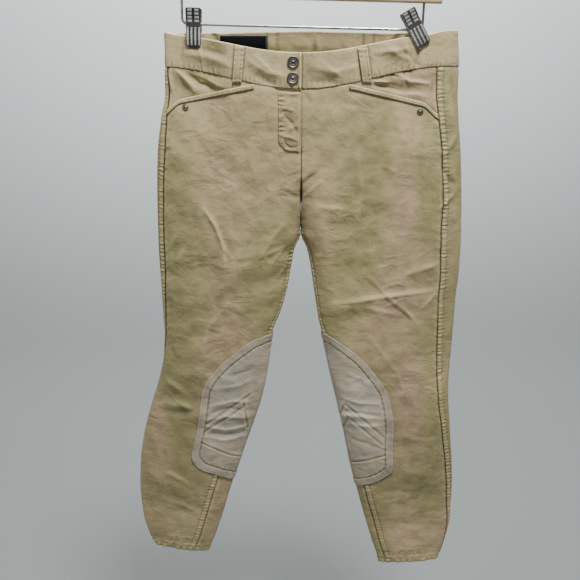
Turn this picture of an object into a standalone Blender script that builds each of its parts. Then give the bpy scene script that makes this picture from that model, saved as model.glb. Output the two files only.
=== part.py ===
"""Knee-patch riding breeches held flat by a wooden clip hanger.

Metres, +Z up, the front faces -Y. The origin is the inner top of the hanger's hook.
"Right" and "left" are the wearer's, so the right leg lies at -X.
The cloth is a tube of sections. Each section is a flattened loop with an outer and an inner
fold, and the panels are cut from it at the outseam, the inseam and the centre seams.
"""
import math
from collections import namedtuple

import bmesh
import bpy
from mathutils import Matrix, Vector
from mathutils.bvhtree import BVHTree

MM = 0.001

# ---------------------------------------------------------------- driving sizes
GAP = 0.3 * MM                 # between pieces that are sewn or clamped together
SEAM = 0.4 * MM                # between a front and a back, along the curved outseam and inseam
TWILL = 1.5 * MM               # wall of a front or back, with its seam allowance
BAND = 2.2 * MM                # wall of the waistband, two layers and the interfacing
PATCH = 1.0 * MM               # suede of the knee patches
TRIM = 1.1 * MM                # welts, fly overlap and label
LAID_GAP = 0.45 * MM           # under a piece that lies on a panel

CROTCH_Z = -0.455              # where the four panels meet
FOLD_RADIUS = 4.0 * MM         # of the cloth where the tube is folded at each side
OUTER_EASE = 55 * MM           # from a fold to the full depth of the tube
INNER_EASE = 36 * MM
CENTRE_BACK = 30 * MM          # the centre back seam hangs this far towards the left leg
PINCH_DEPTH = 3.4 * MM         # half of the stack that a clip holds
PINCH_REACH, PINCH_RUN = 55 * MM, 40 * MM       # sideways from a clip's middle
PINCH_END_Z, PINCH_FADE = -0.335, 0.115        # downwards
CLIP_X = {"right": 0.158, "left": 0.166}
FOLD_FADE = 20 * MM            # beside the outer fold, where the surface folds run out
HEM_FADE = 0.160               # above the hem, where rows turn to its slope
GARMENT_X = -4.5 * MM          # the garment's middle, left of the hook

FRONT_LEVEL = -0.2383          # nominal top row of a front or a back
LEVEL_FADE = -0.345            # where rows become level again

Section = namedtuple("Section", "z outer inner front back outseam inseam")
# z of the section, distance of the outer and inner fold from the middle line, half depth of the
# front and of the back, and how far in from the fold the outseam and the inseam lie on the front
RIGHT_LEG = [
    Section(-0.150, 0.2003, 0.000, 0.018, 0.018, 0.004, 0.000),
    Section(-0.206, 0.2015, 0.000, 0.019, 0.019, 0.004, 0.000),
    Section(-0.240, 0.2025, 0.000, 0.021, 0.023, 0.006, 0.000),
    Section(-0.280, 0.2110, 0.000, 0.023, 0.027, 0.009, 0.000),
    Section(-0.330, 0.2190, 0.000, 0.023, 0.030, 0.012, 0.000),
    Section(-0.390, 0.2230, 0.000, 0.022, 0.029, 0.011, 0.000),
    Section(-0.455, 0.2250, 0.000, 0.021, 0.025, 0.010, 0.000),
    Section(-0.480, 0.2255, 0.010, 0.021, 0.023, 0.010, 0.000),
    Section(-0.520, 0.2250, 0.0165, 0.020, 0.022, 0.009, 0.000),
    Section(-0.560, 0.2240, 0.0250, 0.020, 0.021, 0.006, 0.000),
    Section(-0.590, 0.2232, 0.0345, 0.019, 0.020, 0.004, 0.000),
    Section(-0.620, 0.2225, 0.0455, 0.019, 0.020, 0.002, 0.001),
    Section(-0.660, 0.2260, 0.0510, 0.019, 0.019, 0.000, 0.006),
    Section(-0.700, 0.2350, 0.0575, 0.018, 0.018, 0.000, 0.012),
    Section(-0.740, 0.2480, 0.0660, 0.018, 0.017, 0.000, 0.018),
    Section(-0.780, 0.2605, 0.0785, 0.017, 0.017, 0.000, 0.023),
    Section(-0.820, 0.2705, 0.0920, 0.016, 0.017, 0.000, 0.026),
    Section(-0.860, 0.2770, 0.1050, 0.016, 0.017, 0.000, 0.028),
    Section(-0.920, 0.2812, 0.1235, 0.015, 0.016, 0.000, 0.029),
    Section(-0.970, 0.2785, 0.1380, 0.014, 0.014, 0.000, 0.029),
    Section(-1.010, 0.2695, 0.1510, 0.012, 0.012, 0.000, 0.028),
    Section(-1.045, 0.2560, 0.1630, 0.011, 0.011, 0.000, 0.027),
]
LEFT_LEG = [
    Section(-0.150, 0.2275, 0.000, 0.018, 0.018, 0.004, 0.000),
    Section(-0.206, 0.2325, 0.000, 0.019, 0.019, 0.034, 0.000),
    Section(-0.240, 0.2330, 0.000, 0.021, 0.023, 0.034, 0.000),
    Section(-0.280, 0.2370, 0.000, 0.023, 0.027, 0.033, 0.000),
    Section(-0.330, 0.2435, 0.000, 0.023, 0.030, 0.032, 0.000),
    Section(-0.390, 0.2490, 0.000, 0.022, 0.029, 0.032, 0.000),
    Section(-0.455, 0.2530, 0.000, 0.021, 0.025, 0.035, 0.000),
    Section(-0.480, 0.2540, 0.010, 0.021, 0.023, 0.035, 0.000),
    Section(-0.520, 0.2540, 0.0180, 0.020, 0.022, 0.033, 0.000),
    Section(-0.560, 0.2515, 0.0240, 0.020, 0.021, 0.031, 0.000),
    Section(-0.600, 0.2510, 0.0305, 0.019, 0.020, 0.029, 0.000),
    Section(-0.640, 0.2505, 0.0390, 0.019, 0.019, 0.027, 0.002),
    Section(-0.700, 0.2495, 0.0520, 0.018, 0.018, 0.022, 0.006),
    Section(-0.740, 0.2515, 0.0615, 0.018, 0.017, 0.019, 0.009),
    Section(-0.780, 0.2560, 0.0710, 0.017, 0.017, 0.017, 0.012),
    Section(-0.820, 0.2605, 0.0795, 0.016, 0.017, 0.015, 0.013),
    Section(-0.860, 0.2650, 0.0875, 0.016, 0.017, 0.013, 0.014),
    Section(-0.920, 0.2690, 0.1020, 0.015, 0.016, 0.011, 0.015),
    Section(-0.970, 0.2690, 0.1155, 0.014, 0.014, 0.006, 0.015),
    Section(-1.020, 0.2620, 0.1300, 0.012, 0.012, 0.001, 0.014),
    Section(-1.070, 0.2525, 0.1440, 0.011, 0.011, 0.000, 0.013),
]

Side = namedtuple("Side", "name sign sections hem_z hem_middle hem_slope")
RIGHT = Side("right", -1, RIGHT_LEG, -1.0365, 0.210, 0.12)
LEFT = Side("left", 1, LEFT_LEG, -1.0630, 0.200, 0.06)
SIDES = (RIGHT, LEFT)

Fold = namedtuple("Fold", "face x0 z0 x1 z1 width height")
# the largest soft ridges (height > 0) and troughs, from one end to the other, in world x and z
FOLDS = [
    Fold("front", -0.150, -0.415, -0.112, -0.530, 0.016, 0.0028),
    Fold("front", -0.112, -0.530, -0.100, -0.500, 0.014, 0.0018),
    Fold("front", -0.190, -0.480, -0.150, -0.520, 0.018, -0.0020),
    Fold("front", -0.080, -0.500, -0.030, -0.440, 0.014, 0.0024),
    Fold("front", -0.070, -0.530, -0.025, -0.520, 0.014, -0.0022),
    Fold("front", -0.185, -0.300, -0.120, -0.340, 0.020, -0.0020),
    Fold("front", -0.190, -0.690, -0.130, -0.700, 0.018, 0.0020),
    Fold("front", -0.235, -0.735, -0.165, -0.738, 0.014, -0.0026),
    Fold("front", -0.160, -0.770, -0.100, -0.765, 0.014, 0.0020),
    Fold("front", -0.235, -0.890, -0.200, -0.905, 0.018, 0.0020),
    Fold("front", 0.060, -0.575, 0.205, -0.552, 0.014, 0.0024),
    Fold("front", 0.090, -0.530, 0.180, -0.610, 0.015, -0.0022),
    Fold("front", 0.030, -0.415, 0.075, -0.420, 0.014, 0.0016),
    Fold("front", 0.005, -0.385, 0.040, -0.345, 0.014, -0.0018),
    Fold("front", 0.170, -0.300, 0.150, -0.430, 0.022, -0.0020),
    Fold("front", 0.160, -0.520, 0.205, -0.505, 0.014, 0.0016),
    Fold("front", 0.110, -0.740, 0.230, -0.750, 0.015, -0.0018),
    Fold("front", 0.150, -0.860, 0.215, -0.885, 0.018, 0.0018),
    Fold("back", -0.150, -0.300, -0.040, -0.420, 0.022, 0.0028),
    Fold("back", 0.170, -0.310, 0.070, -0.410, 0.022, 0.0028),
    Fold("back", -0.190, -0.440, -0.060, -0.480, 0.018, -0.0026),
    Fold("back", 0.210, -0.445, 0.060, -0.470, 0.018, -0.0024),
    Fold("back", -0.200, -0.560, -0.080, -0.535, 0.017, 0.0022),
    Fold("back", 0.200, -0.600, 0.090, -0.560, 0.017, 0.0022),
    Fold("back", -0.230, -0.720, -0.110, -0.705, 0.015, -0.0028),
    Fold("back", -0.240, -0.755, -0.120, -0.750, 0.015, 0.0022),
    Fold("back", 0.220, -0.730, 0.095, -0.715, 0.015, -0.0028),
    Fold("back", 0.225, -0.770, 0.110, -0.765, 0.015, 0.0020),
    Fold("back", -0.250, -0.880, -0.180, -0.900, 0.017, 0.0018),
    Fold("back", 0.235, -0.890, 0.150, -0.905, 0.017, 0.0018),
]

ABOVE_ROWS, BELOW_ROWS = 11, 26      # of a panel, above and below the crotch
PANEL_COLUMNS = 12
TURN_WEIGHT = 22 * MM                # extra columns per radian of bend


# ---------------------------------------------------------------- small maths
def clamp(value):
    return min(max(value, 0.0), 1.0)


def smooth(value):
    t = clamp(value)
    return t * t * (3 - 2 * t)


def read(rows, column, z):
    """The smooth value of a table's column at height z."""
    count = len(rows)
    if z >= rows[0].z:
        return getattr(rows[0], column)
    if z <= rows[-1].z:
        return getattr(rows[-1], column)
    i = next(k for k in range(count - 1) if rows[k + 1].z <= z)

    def value(k):
        return getattr(rows[k], column)

    def slope(k):
        if k == 0 or k == count - 1:
            return 0.0
        before = (value(k) - value(k - 1)) / (rows[k].z - rows[k - 1].z)
        after = (value(k + 1) - value(k)) / (rows[k + 1].z - rows[k].z)
        if before * after <= 0:
            return 0.0
        return 2 * before * after / (before + after)

    span = rows[i + 1].z - rows[i].z
    t = (z - rows[i].z) / span
    return ((1 + 2 * t) * (1 - t) ** 2 * value(i) + t * (1 - t) ** 2 * span * slope(i)
            + t * t * (3 - 2 * t) * value(i + 1) + t * t * (t - 1) * span * slope(i + 1))


# ---------------------------------------------------------------- the tube's form
BAND_TOP_Z, BAND_LOW_Z = -0.1580, -0.2064     # at the clips and at the side folds
BAND_TILT = 0.009                             # of its top edge, lower towards the left leg
TOP_SAG = {"front": 28 * MM, "back": -2 * MM}
LOW_SAG = {"front": 31 * MM, "back": 4 * MM}
SAG_REACH = 0.215
CORNER_LIFT, CORNER_X, CORNER_RUN = 5 * MM, 0.180, 0.035


def sag(x):
    """How much of the waist's sag between the clips is left at x: 1 at the middle."""
    return 0.5 * (1 + math.cos(math.pi * min(abs(x) / SAG_REACH, 1.0)))


def band_top(face, x):
    lift = CORNER_LIFT * smooth((abs(x) - CORNER_X) / CORNER_RUN)
    return BAND_TOP_Z - BAND_TILT * x - TOP_SAG[face] * sag(x) + lift


def band_bottom(face, x):
    return BAND_LOW_Z - LOW_SAG[face] * sag(x)


POCKET_START = 0.067          # where a pocket mouth leaves the waistband
POCKET_BEND = 0.178
POCKET_CORNER_Z = {"right": -0.2520, "left": -0.2560}
POCKET_TURN_DOWN, POCKET_TURN_RUN = 19 * MM, 28 * MM     # of the mouth from its corner to the outseam


def pocket_mouth(side, x):
    """Height of a pocket mouth at a distance x from the middle, outside its start."""
    start_z = band_bottom("front", POCKET_START)
    corner_z = POCKET_CORNER_Z[side.name]
    if x < POCKET_BEND:
        return start_z + (corner_z - start_z) * (x - POCKET_START) / (POCKET_BEND - POCKET_START)
    return corner_z - POCKET_TURN_DOWN * smooth((x - POCKET_BEND) / POCKET_TURN_RUN)


CENTRE_BACK_STRAIGHT_Z, CENTRE_BACK_RUN = -0.440, 0.200
GROOVE_Z = {"front": -0.362, "back": -0.405}      # where the crotch begins to turn under


def centre_back(z):
    """Distance of the centre back seam from the middle, towards the left leg."""
    return CENTRE_BACK * smooth((z - CENTRE_BACK_STRAIGHT_Z) / CENTRE_BACK_RUN)


def inner_end(side, face, z):
    """Distance from the middle where a half section ends: a centre seam or the inner fold."""
    if z < CROTCH_Z:
        return read(side.sections, "inner", z)
    return side.sign * centre_back(z) if face == "back" else 0.0


def groove(face, z):
    """Distance, past a centre seam, of the fold that becomes the inner leg."""
    if z <= CROTCH_Z:
        return 0.0
    return INNER_EASE * clamp((z - CROTCH_Z) / (GROOVE_Z[face] - CROTCH_Z)) ** 2


def fold_height(face, x, z):
    total = 0.0
    for fold in FOLDS:
        if fold.face != face:
            continue
        run_x, run_z = fold.x1 - fold.x0, fold.z1 - fold.z0
        length = math.hypot(run_x, run_z)
        along = ((x - fold.x0) * run_x + (z - fold.z0) * run_z) / length
        across = ((x - fold.x0) * run_z - (z - fold.z0) * run_x) / length
        past = max(-along, along - length, 0.0)
        total += fold.height * math.exp(-(across / fold.width) ** 2 - (past / (1.5 * fold.width)) ** 2)
    return total


def round_part(distance):
    return math.sqrt(1 - (1 - min(distance / FOLD_RADIUS, 1.0)) ** 2)


def ease(distance, length):
    return 1 - (1 - min(distance / length, 1.0)) ** 2


def half_depth(side, face, x, z):
    """Depth of the cloth's outside from the middle plane; x is the distance from the middle."""
    outer = read(side.sections, "outer", z)
    full = read(side.sections, face, z)
    d_outer = max(outer - x, 0.0)
    d_inner = max(x - inner_end(side, face, z) + groove(face, z), 0.0)
    ends = round_part(d_outer) * round_part(d_inner)
    depth = FOLD_RADIUS * ends
    depth += (full - FOLD_RADIUS) * ease(d_outer, OUTER_EASE) * ease(d_inner, INNER_EASE)
    clip = CLIP_X[side.name]
    open_depth = FOLD_RADIUS + (full - FOLD_RADIUS) * ease(outer - clip, OUTER_EASE)
    held = smooth((PINCH_REACH - abs(x - clip)) / PINCH_RUN) * smooth((z - PINCH_END_Z) / PINCH_FADE)
    depth *= 1 - held * (1 - PINCH_DEPTH / open_depth)
    return depth + fold_height(face, side.sign * x, z) * ends * smooth(d_outer / FOLD_FADE)


def row_height(side, kind, face, level, x):
    """Height of a panel's row at x: it follows the top edge, then the level, then the hem."""
    top = band_bottom(face, x) - GAP
    if kind == "front" and x > POCKET_START:
        top = pocket_mouth(side, x)
    fade = smooth((level - LEVEL_FADE) / (FRONT_LEVEL - LEVEL_FADE))
    hem_fade = smooth((side.hem_z + HEM_FADE - level) / HEM_FADE)
    return level + (top - FRONT_LEVEL) * fade + side.hem_slope * (x - side.hem_middle) * hem_fade


HALF_POINTS = 70


def section_path(side, kind, level, heights=None):
    """Points and outward directions of one row, from the front's inner end round to the back's."""
    heights = heights or (lambda face, x: row_height(side, kind, face, level, x))
    points = []
    for face in ("front", "back"):
        half = []
        for i in range(HALF_POINTS + 1):
            share = (1 - math.cos(math.pi * i / HALF_POINTS)) / 2
            z = level
            for _ in range(2):
                end = inner_end(side, face, z)
                x = end + (read(side.sections, "outer", z) - end) * share
                z = heights(face, x)
            end = inner_end(side, face, z)
            x = end + (read(side.sections, "outer", z) - end) * share
            depth = half_depth(side, face, x, z)
            y = -depth if face == "front" else depth
            half.append(Vector((side.sign * x, y, z)))
        points.append(half)
    front, back = points
    path = front[:-1] + list(reversed(back))
    return path


def outward(path, closed, turn):
    """Level directions that point out of the section, one for each point of its path."""
    count = len(path)
    result = []
    for i in range(count):
        before = path[i - 1] if i > 0 else (path[-2] if closed else path[0])
        after = path[i + 1] if i < count - 1 else (path[1] if closed else path[-1])
        run = after - before
        direction = Vector((run.y, -run.x, 0)) * turn
        result.append(direction.normalized())
    return result


class Row:
    """A section's path with its arc length, bend weight and outward directions."""

    def __init__(self, side, kind, level, heights=None):
        path = section_path(side, kind, level, heights)
        closed = (path[0] - path[-1]).length < 0.2 * MM
        facing = outward(path, closed, side.sign)
        if closed:
            path = path + path[1:HALF_POINTS]
            facing = facing + facing[1:HALF_POINTS]
        self.points, self.facing, self.closed = path, facing, closed
        self.arc, self.weight = [0.0], [0.0]
        for i in range(1, len(path)):
            step = (path[i] - path[i - 1]).length
            turn = facing[i].angle(facing[i - 1], 0.0)
            self.arc.append(self.arc[-1] + step)
            self.weight.append(self.weight[-1] + step + TURN_WEIGHT * turn)
        self.length = self.arc[2 * HALF_POINTS]
        outer = [read(side.sections, "outer", p.z) for p in path[:HALF_POINTS + 1]]
        self.outseam = self._mark([outer[i] - abs(path[i].x) - read(side.sections, "outseam", path[i].z)
                                   for i in range(HALF_POINTS + 1)])
        self.inseam = 0.0
        if closed:
            inner = [read(side.sections, "inner", p.z) for p in path[:HALF_POINTS + 1]]
            self.inseam = self._mark([inner[i] + read(side.sections, "inseam", path[i].z) - abs(path[i].x)
                                      for i in range(HALF_POINTS + 1)])

    def _mark(self, offsets):
        """Arc length where a falling list of offsets on the front crosses zero."""
        for i in range(1, len(offsets)):
            if offsets[i] <= 0 <= offsets[i - 1] and offsets[i] != offsets[i - 1]:
                share = offsets[i - 1] / (offsets[i - 1] - offsets[i])
                return self.arc[i - 1] + share * (self.arc[i] - self.arc[i - 1])
        return self.arc[0] if offsets[0] <= 0 else self.arc[HALF_POINTS]

    def at_x(self, x):
        """Arc length of the front's point at a distance x from the middle."""
        return self._mark([x - abs(self.points[i].x) for i in range(HALF_POINTS + 1)])

    @staticmethod
    def _between(keys, values, key):
        i = next((k for k in range(1, len(keys)) if keys[k] >= key), len(keys) - 1)
        span = keys[i] - keys[i - 1]
        share = clamp((key - keys[i - 1]) / span) if span else 0.0
        return values[i - 1] + (values[i] - values[i - 1]) * share

    def point(self, arc):
        return (self._between(self.arc, self.points, arc),
                self._between(self.arc, self.facing, arc).normalized())

    def sample(self, start, end, columns):
        """Points between two arc lengths, closer together where the cloth bends."""
        first = self._between(self.arc, self.weight, start)
        last = self._between(self.arc, self.weight, end)
        arcs = [self._between(self.weight, self.arc, first + (last - first) * k / columns)
                for k in range(columns + 1)]
        arcs[0], arcs[-1] = start, end
        return [self.point(arc) for arc in arcs]


# ---------------------------------------------------------------- meshes and materials
def material(name, colour, roughness, metallic=0.0):
    made = bpy.data.materials.new(name)
    made.use_nodes = True
    shader = made.node_tree.nodes["Principled BSDF"]
    shader.inputs["Base Color"].default_value = (*colour, 1.0)
    shader.inputs["Roughness"].default_value = roughness
    shader.inputs["Metallic"].default_value = metallic
    return made


def place(name, mesh, surface, parent, smooth_angle=None):
    mesh.materials.append(surface)
    if smooth_angle is not None:
        mesh.shade_smooth()
        mesh.set_sharp_from_angle(angle=math.radians(smooth_angle))
    thing = bpy.data.objects.new(name, mesh)
    thing.parent = parent
    bpy.context.scene.collection.objects.link(thing)
    return thing


def mesh_from(bm, name):
    bmesh.ops.recalc_face_normals(bm, faces=bm.faces)
    mesh = bpy.data.meshes.new(name)
    bm.to_mesh(mesh)
    bm.free()
    return mesh


def wall(name, outside, inside):
    """A closed wall between two grids of points that have the same rows and columns."""
    bm = bmesh.new()
    rows, columns = len(outside), len(outside[0])
    skins = [[[bm.verts.new(p) for p in row] for row in grid] for grid in (outside, inside)]
    for skin in skins:
        for i in range(rows - 1):
            for j in range(columns - 1):
                bm.faces.new((skin[i][j], skin[i][j + 1], skin[i + 1][j + 1], skin[i + 1][j]))
    rim = [(0, j) for j in range(columns - 1)] + [(i, columns - 1) for i in range(rows - 1)]
    rim += [(rows - 1, j) for j in range(columns - 1, 0, -1)] + [(i, 0) for i in range(rows - 1, 0, -1)]
    for (i, j), (k, l) in zip(rim, rim[1:] + rim[:1]):
        bm.faces.new((skins[0][i][j], skins[0][k][l], skins[1][k][l], skins[1][i][j]))
    return mesh_from(bm, name)


def cloth_wall(name, grid, thickness):
    """A wall inwards from a grid of (point, outward) pairs."""
    outside = [[point for point, _ in row] for row in grid]
    inside = [[point - facing * thickness for point, facing in row] for row in grid]
    return wall(name, outside, inside)


class Ground:
    """The outside of the pieces made so far, on which other pieces are laid."""

    def __init__(self, meshes):
        points, faces = [], []
        for mesh in meshes:
            base = len(points)
            points += [v.co.copy() for v in mesh.vertices]
            faces += [[base + i for i in p.vertices] for p in mesh.polygons]
        self.tree = BVHTree.FromPolygons(points, faces)

    def level_seat(self, x, z, facing):
        """The outermost place on the cloth at x and z, on the front or on the back."""
        return self.tree.ray_cast(Vector((x, 0, z)) + facing * 0.1, -facing)[0]

    def level_facing(self, x, z, facing):
        normal = self.tree.ray_cast(Vector((x, 0, z)) + facing * 0.1, -facing)[1]
        return normal if normal.dot(facing) > 0 else -normal


def laid_level(name, ground, grid, thickness, facing, lift=LAID_GAP):
    """A wall that lies on the ground over a grid of (x, z) places."""
    seats = [[(ground.level_seat(x, z, facing), facing) for x, z in row] for row in grid]
    return wall_on(name, seats, thickness, lift)


def wall_on(name, seats, thickness, lift=LAID_GAP):
    """A wall over (point, outward) pairs of the cloth below it, moved out."""
    inside = [[seat + facing * lift for seat, facing in row] for row in seats]
    outside = [[seat + facing * (lift + thickness) for seat, facing in row] for row in seats]
    return wall(name, outside, inside)


def cut_out(sheet, cutter_mesh, parent):
    """Keep only the part of a sheet that lies inside a cutter."""
    cutter = bpy.data.objects.new(cutter_mesh.name, cutter_mesh)
    cutter.parent = parent
    cutter.hide_render = True
    cutter.display_type = "WIRE"
    bpy.context.scene.collection.objects.link(cutter)
    cut = sheet.modifiers.new("outline", "BOOLEAN")
    cut.operation = "INTERSECT"
    cut.solver = "EXACT"
    cut.object = cutter


FORWARD = Vector((0, -1, 0))
BACKWARD = Vector((0, 1, 0))


# ---------------------------------------------------------------- panels
def panel_levels(side):
    upper = [FRONT_LEVEL + (CROTCH_Z - FRONT_LEVEL) * i / ABOVE_ROWS for i in range(ABOVE_ROWS)]
    lower = [CROTCH_Z + (side.hem_z - CROTCH_Z) * i / BELOW_ROWS for i in range(BELOW_ROWS + 1)]
    return upper + lower


def panel_grid(side, kind):
    """Rows of (point, outward) pairs of a front or a back, from the waistband to the hem."""
    grid = []
    half_gap = SEAM / 2
    for level in panel_levels(side):
        row = Row(side, kind, level)
        if kind == "front":
            start, end = row.inseam + half_gap, row.outseam - half_gap
        else:
            start = row.outseam + half_gap
            end = row.length + (row.inseam if row.closed else 0.0) - half_gap
        grid.append(row.sample(start, end, PANEL_COLUMNS))
    return grid


def pocket_facing(side):
    """The hip piece between the waistband, the outseam and the pocket mouth."""
    rows, columns = 3, 10
    grid = []
    for i in range(rows + 1):
        share = i / rows

        def heights(face, x, share=share):
            top = band_bottom(face, x) - GAP
            if face == "back":
                return top
            low = pocket_mouth(side, x) + 1.5 * MM if x > POCKET_START else top - GAP
            return top + (min(low, top - 0.4 * MM) - top) * share

        row = Row(side, "front", FRONT_LEVEL, heights)
        start = row.at_x(POCKET_START + 6 * MM)
        pairs = row.sample(start, row.outseam - 2 * GAP, columns)
        grid.append([(point - facing * 0.3 * MM, facing) for point, facing in pairs])
    return cloth_wall(f"pocket_facing_{side.name}", grid, TWILL)


def welt_cutter(side):
    """A prism over the strip below a pocket mouth."""
    width, steps = 6 * MM, 16
    first, last = POCKET_START + 3 * MM, read(side.sections, "outer", POCKET_CORNER_Z[side.name])
    grids = []
    for y in (-0.060, -0.001):
        grids.append([[Vector((side.sign * x, y, pocket_mouth(side, x) - 0.5 * MM - drop))
                       for x in (first + (last - first) * k / steps for k in range(steps + 1))]
                      for drop in (0.0, width)])
    return wall(f"welt_cutter_{side.name}", *grids)


# ---------------------------------------------------------------- waistband
def band_row(side, share):
    def heights(face, x):
        return band_top(face, x) + (band_bottom(face, x) - band_top(face, x)) * share
    return Row(side, "front", -0.19, heights)


TAB_LIFT, TAB_START, TAB_RUN = 1.0 * MM, 45 * MM, 15 * MM


def tab_lift(side, point):
    """The buttoned tab of the right front stands proud of the left front."""
    if side.sign > 0:
        return 0.0
    return TAB_LIFT * smooth((point.x + TAB_START) / TAB_RUN)


BAND_ROWS = 4
BAND_SEAM = 1.5 * MM                                  # of arc before the side fold


def band_front(side):
    grid = []
    for i in range(BAND_ROWS + 1):
        row = band_row(side, i / BAND_ROWS)
        fold = row.arc[HALF_POINTS]
        pairs = row.sample(0.2 * MM, fold - BAND_SEAM - GAP / 2, 14)
        grid.append([(point + facing * tab_lift(side, point), facing) for point, facing in pairs])
    return cloth_wall(f"waistband_front_{side.name}", grid, BAND)


def band_back():
    """One strip from side to side across the back."""
    grid = []
    for i in range(BAND_ROWS + 1):
        halves = []
        for side in SIDES:
            row = band_row(side, i / BAND_ROWS)
            start = row.arc[HALF_POINTS] - BAND_SEAM + GAP / 2
            halves.append(row.sample(start, row.length, 14))
        right, left = halves
        grid.append(right + list(reversed(left[:-1])))
    return cloth_wall("waistband_back", grid, BAND)


def belt_loop(name, ground, x_top, x_low, face):
    """A strip sewn at both ends, with room for a belt behind its middle."""
    width, rows = 13 * MM, 8
    top = min(band_top(face, x_top - width / 2), band_top(face, x_top + width / 2)) - 2.5 * MM
    low = band_bottom(face, x_low) - 4 * MM
    facing = FORWARD if face == "front" else BACKWARD
    inside, outside = [], []
    for i in range(rows + 1):
        share = i / rows
        bow = 1.6 * MM * math.sin(math.pi * share) ** 2
        x_middle = x_top + (x_low - x_top) * share
        z = top + (low - top) * share
        row_in, row_out = [], []
        for across in (-0.5, -0.42, -0.14, 0.14, 0.42, 0.5):
            x = x_middle + width * across
            seat = ground.level_seat(x, z, facing)
            edge = 0.5 * MM if abs(across) == 0.5 else 0.0
            row_in.append(seat + facing * (0.9 * MM + bow))
            row_out.append(seat + facing * (0.9 * MM + bow + 1.7 * MM - edge))
        inside.append(row_in)
        outside.append(row_out)
    return wall(name, outside, inside)


FLY_TOP_Z, FLY_CORNER_Z, FLY_FOOT_Z = -0.2415, -0.309, -0.328
FLY_EDGE_X, FLY_WIDTH = -0.0025, 0.032
FLY_FOOT_SHARE, FLY_FOOT_WIDTH = 0.86, 4.5 * MM


def fly_flap(ground):
    """The J-shaped overlap of the fly, from the waistband to the foot of its stitching."""
    rows, columns = 12, 4
    grid = []
    for i in range(rows + 1):
        z = FLY_TOP_Z + (FLY_FOOT_Z - FLY_TOP_Z) * i / rows
        reach = FLY_WIDTH
        if z < FLY_CORNER_Z:
            fall = (FLY_CORNER_Z - z) / (FLY_CORNER_Z - FLY_FOOT_Z)
            reach = FLY_WIDTH * math.sqrt(max(1 - fall ** 2, 0.0)) * FLY_FOOT_SHARE + FLY_FOOT_WIDTH
        grid.append([(FLY_EDGE_X - reach * k / columns, z) for k in range(columns + 1)])
    return laid_level("fly_flap", ground, grid, TRIM, FORWARD)


LABEL_START_X, LABEL_WIDTH = -0.120, 0.070
LABEL_TOP_Z, LABEL_HEIGHT, LABEL_THICKNESS = -0.1620, 0.020, 0.6 * MM


def label(ground):
    """The woven label inside the back of the waistband."""
    rows, columns = 2, 6
    grid = []
    for i in range(rows + 1):
        z = LABEL_TOP_Z - LABEL_HEIGHT * i / rows
        grid.append([(LABEL_START_X + LABEL_WIDTH * k / columns, z) for k in range(columns + 1)])
    return laid_level("label", ground, grid, LABEL_THICKNESS, FORWARD)


# ---------------------------------------------------------------- knee patches
Patch = namedtuple("Patch", "z front back")
# how far a knee patch reaches from the inner fold, over the front and over the back
PATCHES = {
    "right": [
        Patch(-0.6235, 0.012, 0.006), Patch(-0.6300, 0.030, 0.018), Patch(-0.6400, 0.043, 0.028),
        Patch(-0.6530, 0.058, 0.038), Patch(-0.6700, 0.075, 0.048), Patch(-0.6880, 0.088, 0.055),
        Patch(-0.7040, 0.097, 0.060), Patch(-0.7250, 0.102, 0.064), Patch(-0.7460, 0.100, 0.066),
        Patch(-0.7700, 0.096, 0.065), Patch(-0.7950, 0.092, 0.062), Patch(-0.8230, 0.089, 0.058),
        Patch(-0.8460, 0.086, 0.052), Patch(-0.8570, 0.079, 0.046), Patch(-0.8700, 0.064, 0.036),
        Patch(-0.8820, 0.031, 0.018), Patch(-0.8930, 0.010, 0.005),
    ],
    "left": [
        Patch(-0.6225, 0.010, 0.006), Patch(-0.6300, 0.021, 0.018), Patch(-0.6460, 0.041, 0.032),
        Patch(-0.6650, 0.058, 0.043), Patch(-0.6880, 0.072, 0.052), Patch(-0.7100, 0.083, 0.058),
        Patch(-0.7330, 0.089, 0.062), Patch(-0.7560, 0.089, 0.064), Patch(-0.7800, 0.087, 0.064),
        Patch(-0.8010, 0.084, 0.062), Patch(-0.8230, 0.079, 0.058), Patch(-0.8500, 0.075, 0.052),
        Patch(-0.8720, 0.070, 0.044), Patch(-0.8850, 0.055, 0.034), Patch(-0.8970, 0.032, 0.020),
        Patch(-0.9060, 0.010, 0.005),
    ],
}


def patch_cutter(side):
    """A solid over the inner leg, as wide as the patch on the front and on the back."""
    past, deep, step = 0.020, 0.060, 0.5 * MM
    skins = ([], [])
    for row in PATCHES[side.name]:
        fold = read(side.sections, "inner", row.z)
        near, front, back = fold - past, fold + row.front, fold + row.back
        wide = [(front, -deep), (front, 0.0), (back, 0.0), (back, deep)]
        narrow = [(near, -deep), (near, -step), (near, step), (near, deep)]
        for skin, corners in zip(skins, (wide, narrow)):
            skin.append([Vector((side.sign * x, y, row.z)) for x, y in corners])
    return wall(f"patch_cutter_{side.name}", *skins)


def inner_leg(front_grid, back_grid):
    """The rows around the knee patch, from the middle of the back round to the front."""
    keep = [i for i, row in enumerate(front_grid) if -0.96 < row[0][0].z < -0.58]
    columns = PANEL_COLUMNS
    return [back_grid[i][columns - 9:] + front_grid[i][:10] for i in keep]


# ---------------------------------------------------------------- snaps and rivets
def turned(name, profile, segments):
    """A round piece from a profile of (radius, height) points, along +Z."""
    bm = bmesh.new()
    verts = [bm.verts.new((radius, 0, height)) for radius, height in profile]
    edges = [bm.edges.new(pair) for pair in zip(verts, verts[1:])]
    bmesh.ops.spin(bm, geom=verts + edges, cent=(0, 0, 0), axis=(0, 0, 1), angle=2 * math.pi,
                   steps=segments, use_merge=True)
    bmesh.ops.remove_doubles(bm, verts=bm.verts, dist=1e-6)
    return mesh_from(bm, name)


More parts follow.
